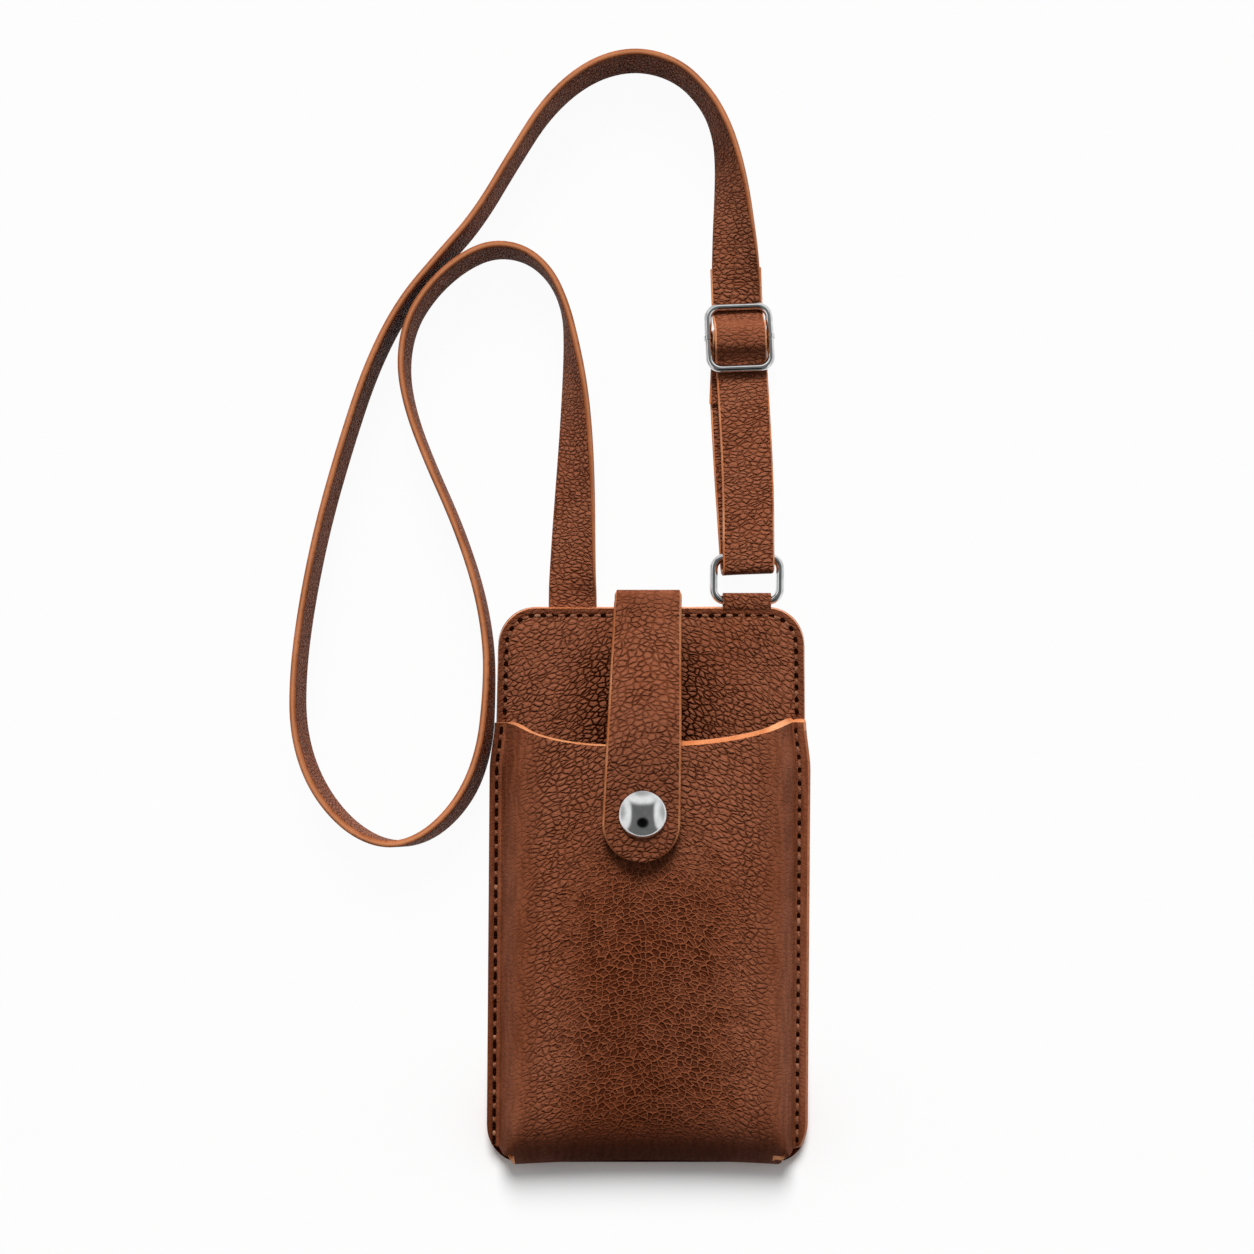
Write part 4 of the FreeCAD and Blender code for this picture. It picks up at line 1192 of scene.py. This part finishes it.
def capProfile():
    # from the crown of the dome over its lip to the post underneath
    radius, height, lip = snap["radius"], snap["height"], snap["lip"]
    rise = height - lip
    ball = (radius ** 2 + rise ** 2) / (2 * rise)
    turns = [math.pi / 2 * i / snap["steps"] for i in range(snap["steps"] + 1)]
    arc = [(radius - snap["rim"]) * math.sin(turn) for turn in turns]
    dome = [(r, height - ball + math.sqrt(ball ** 2 - r ** 2)) for r in arc]
    post, depth = snap["postRadius"], -snap["postDepth"]
    edge = [(radius - inward, lip * share) for inward, share in snap["lipProfile"]]
    return dome + edge + [(post, 0.0), (post, depth), (0, depth)]


def addMetal():
    cap = turnedPiece("snapCap", capProfile())
    placeMetal(cap, Matrix.Translation(snap["place"]), "tab", "snap_cap")
    seat = Matrix.Translation((ringLoop["centre"], ringLoop["barY"], ringLoop["barZ"]))
    upright = Matrix.Translation((0, (ring["height"] - ring["wire"]) / 2, 0))
    turn = Matrix.Rotation(math.radians(ring["tilt"]), 4, "X")
    placeMetal(wireLoop("strapRing", ring), seat @ turn @ upright, "ring", "strap_ring")
    seat = Matrix.Translation(legPoint(slider["along"], 0, slider["z"]))
    turn = Matrix.Rotation(leg["lean"], 4, "Z") @ Matrix.Rotation(math.radians(-slider["tilt"]), 4, "X")
    placeMetal(wireLoop("sliderFrame", slider), seat @ turn, "slider", "slider_frame")
    for name in ("slider_bar", "snap_socket", "snap_stud", "snap_post"):
        dress(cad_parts[name], "polished_metal", nickel)
    print("metal made")


def addRingLoop():
    # the leather loop that holds the ring; the bar shifts a little in it as the ring swings
    y, z, r = ringLoop["barY"], ringLoop["barZ"], ringLoop["radius"]
    nose, low = y + ringLoop["nose"], z - ringLoop["drop"]
    route = [(80, 2.35), (87, 2.4), (88.6, z + r * 0.8), (90, z + r), (y, z + r),
             (nose + r * 0.72, z + r), (nose + r, z + r * 0.7), (nose + r, low - r * 0.7),
             (nose + r * 0.72, low - r), (y, low - r), (90, low - r * 0.9), (88.6, z - r * 0.5),
             (87, 1.7), (80, 1.7)]
    line = readSpline([Vector((0, a, b)) for a, b in route])
    count = len(line) - 1

    def place(u, v):
        p = line[min(max(round((1 - v) / 2 * count), 0), count)]
        return Vector((ringLoop["centre"] - u * ringLoop["half"], p.y, p.z))

    sheet = pulledGrid("ringLoop", ringLoop["columns"], count, place)
    thicken(sheet, ringLoop["thickness"], (0.0, 0.0), offset=0.0, rounding=ringLoop["rounding"])
    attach(sheet, "pouch")
    finishSheet(sheet, ["ring_loop"], tanEdge)
    print("ring loop folded")


addMetal()
addRingLoop()


# thread: one stitch and one hole, a dark disc of painted shade, are modelled, and copied along each seam

sewing = {
    # left and right flange: from hole to hole, and the share of it that the thread spans
    "sidePitch": (4.4, 4.2), "sideThread": (0.42, 0.68), "sideFrom": 49.5, "sideTo": -81.0, "sideSink": 0.3,
    "topPitch": 3.8, "topThread": 0.58, "topFrom": 55.5, "topSink": 0.2, "endPitch": 3.2, "endHeight": 3.2,
    "endAlong": 52, "endAcross": (-5.5, 4.5),
    "width": 1.15, "height": 0.8, "sink": 0.05, "overlap": 0.12, "waist": 0.72, "dip": 0.75, "lift": 0.18,
    "holeWidth": 0.72, "holeDepth": 0.8, "holeLift": 0.16, "holeOverlap": 1.08,
    "pathSteps": 40, "cornerSteps": 12,
}


def seamPoints(path, pitch):
    lengths = runningLengths(path)
    count = max(round(lengths[-1] / pitch), 1)
    found, at = [], 0
    for i in range(count + 1):
        goal = lengths[-1] * i / count
        while at < len(path) - 2 and lengths[at + 1] < goal:
            at += 1
        share = (goal - lengths[at]) / (lengths[at + 1] - lengths[at])
        found.append(path[at].lerp(path[at + 1], min(share, 1.0)))
    return found


def smallCylinder(radius, ends, turned=0.0):
    clearSelection()
    bpy.ops.mesh.primitive_cylinder_add(vertices=8, radius=radius, depth=1.0, end_fill_type=ends,
                                        rotation=(0, turned, 0))
    bpy.ops.object.transform_apply(location=False, rotation=True, scale=True)
    one = bpy.context.object
    one.data.materials.append(thread)
    one.data.materials.append(stitchHoleShade)
    return one


def modelStitch():
    # a short bowed length of thread, its ends drawn down into their holes
    one = smallCylinder(0.5, "NOTHING", math.pi / 2)
    bpy.ops.object.mode_set(mode="EDIT")
    for cut in (-0.25, 0.25, 0):
        bpy.ops.mesh.select_all(action="SELECT")
        bpy.ops.mesh.bisect(plane_co=(cut, 0, 0), plane_no=(1, 0, 0))
    bpy.ops.object.mode_set(mode="OBJECT")
    for v in one.data.vertices:
        bow = 1 - (2 * v.co.x) ** 2
        full = sewing["waist"] + (1 - sewing["waist"]) * bow
        v.co.y *= full
        v.co.z = v.co.z * full - sewing["dip"] * (1 - bow) + sewing["lift"]
    return one


def modelHole():
    # a dark disc in the mouth of a stitch hole: painted shade inside the hole
    one = smallCylinder(1.0, "NGON")
    for polygon in one.data.polygons:
        polygon.material_index = 1
    return one


def sewSeam(name, path, pitch, threadShare, body, node):
    stitch, hole = modelStitch(), modelHole()
    holes = seamPoints(path, pitch)
    up = Vector((0, 0, 1))
    copies = []

    def addCopy(pattern, way, length, width, height, middle):
        side = up.cross(way).normalized()
        spot = Matrix((way * length, side * width, way.cross(side) * height)).transposed().to_4x4()
        spot.translation = middle
        copy = addPiece(name, pattern.data.copy())
        copy.data.transform(spot)
        copies.append(copy)

    for i, spot in enumerate(holes):
        way = (holes[min(i + 1, len(holes) - 1)] - holes[max(i - 1, 0)]).normalized()
        length = pitch * (sewing["holeOverlap"] - threadShare) / 2
        middle = spot - up * (sewing["holeDepth"] / 2 - sewing["holeLift"])
        addCopy(hole, way, length, sewing["holeWidth"], sewing["holeDepth"], middle)
    for first, second in zip(holes, holes[1:]):
        way = second - first
        length = way.length * (threadShare + sewing["overlap"])
        middle = (first + second) / 2 - up * sewing["sink"]
        addCopy(stitch, way.normalized(), length, sewing["width"], sewing["height"], middle)
    bpy.data.objects.remove(stitch)
    bpy.data.objects.remove(hole)
    pickOnly(copies[0])
    for copy in copies:
        copy.select_set(True)
    bpy.ops.object.join()
    seam = bpy.context.object
    seam.name = seam.data.name = name
    smoothByAngle(seam, 70)
    toMetres(seam)
    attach(seam, body)
    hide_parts(node)
    dress(seam, "thread", thread, stitchHoleShade)


def sideSeam(side):
    # down one flange of the pocket
    path = []
    for i in range(sewing["pathSteps"] + 1):
        y = sewing["sideFrom"] + (sewing["sideTo"] - sewing["sideFrom"]) * i / sewing["pathSteps"]
        x = side * (halfWidth(y) - bySide(pocket["seamInset"], side)) + leanAt(y)
        path.append(Vector((x, y, pocket["flangeTop"] - sewing["sideSink"])))
    return path


def topSeam():
    # up one side of the panel, round its two upper corners and down the other side
    inset, low = pouch["seamInset"], sewing["topFrom"]
    top, radius = pouch["halfHeight"] - inset, pouch["topRadius"] - inset
    height = pouch["backThickness"] + pouch["facingThickness"] - sewing["topSink"]
    centre = halfWidth(top) - inset - radius
    flat = [(inset - halfWidth(low), low)]
    for x, start in ((-centre, math.pi), (centre, math.pi / 2)):
        for i in range(sewing["cornerSteps"] + 1):
            turn = start - math.pi / 2 * i / sewing["cornerSteps"]
            flat.append((x + radius * math.cos(turn), top - radius + radius * math.sin(turn)))
    flat.append((halfWidth(low) - inset, low))
    return [Vector((x + leanAt(y), y, height)) for x, y in flat]


def addSeams():
    for side, name, node in ((-1, "leftSeam", "left_seam_thread"), (1, "rightSeam", "right_seam_thread")):
        pitch, share = [bySide(sewing[key], side) for key in ("sidePitch", "sideThread")]
        sewSeam(name, sideSeam(side), pitch, share, "pouch", node)
    sewSeam("topSeam", topSeam(), sewing["topPitch"], sewing["topThread"], "pouch", "top_seam_thread")
    across = [legPoint(sewing["endAlong"], side, sewing["endHeight"]) for side in sewing["endAcross"]]
    sewSeam("strapEndSeam", across, sewing["endPitch"], sewing["topThread"], "slider", "strap_end_thread")
    print("seams sewn")


addSeams()
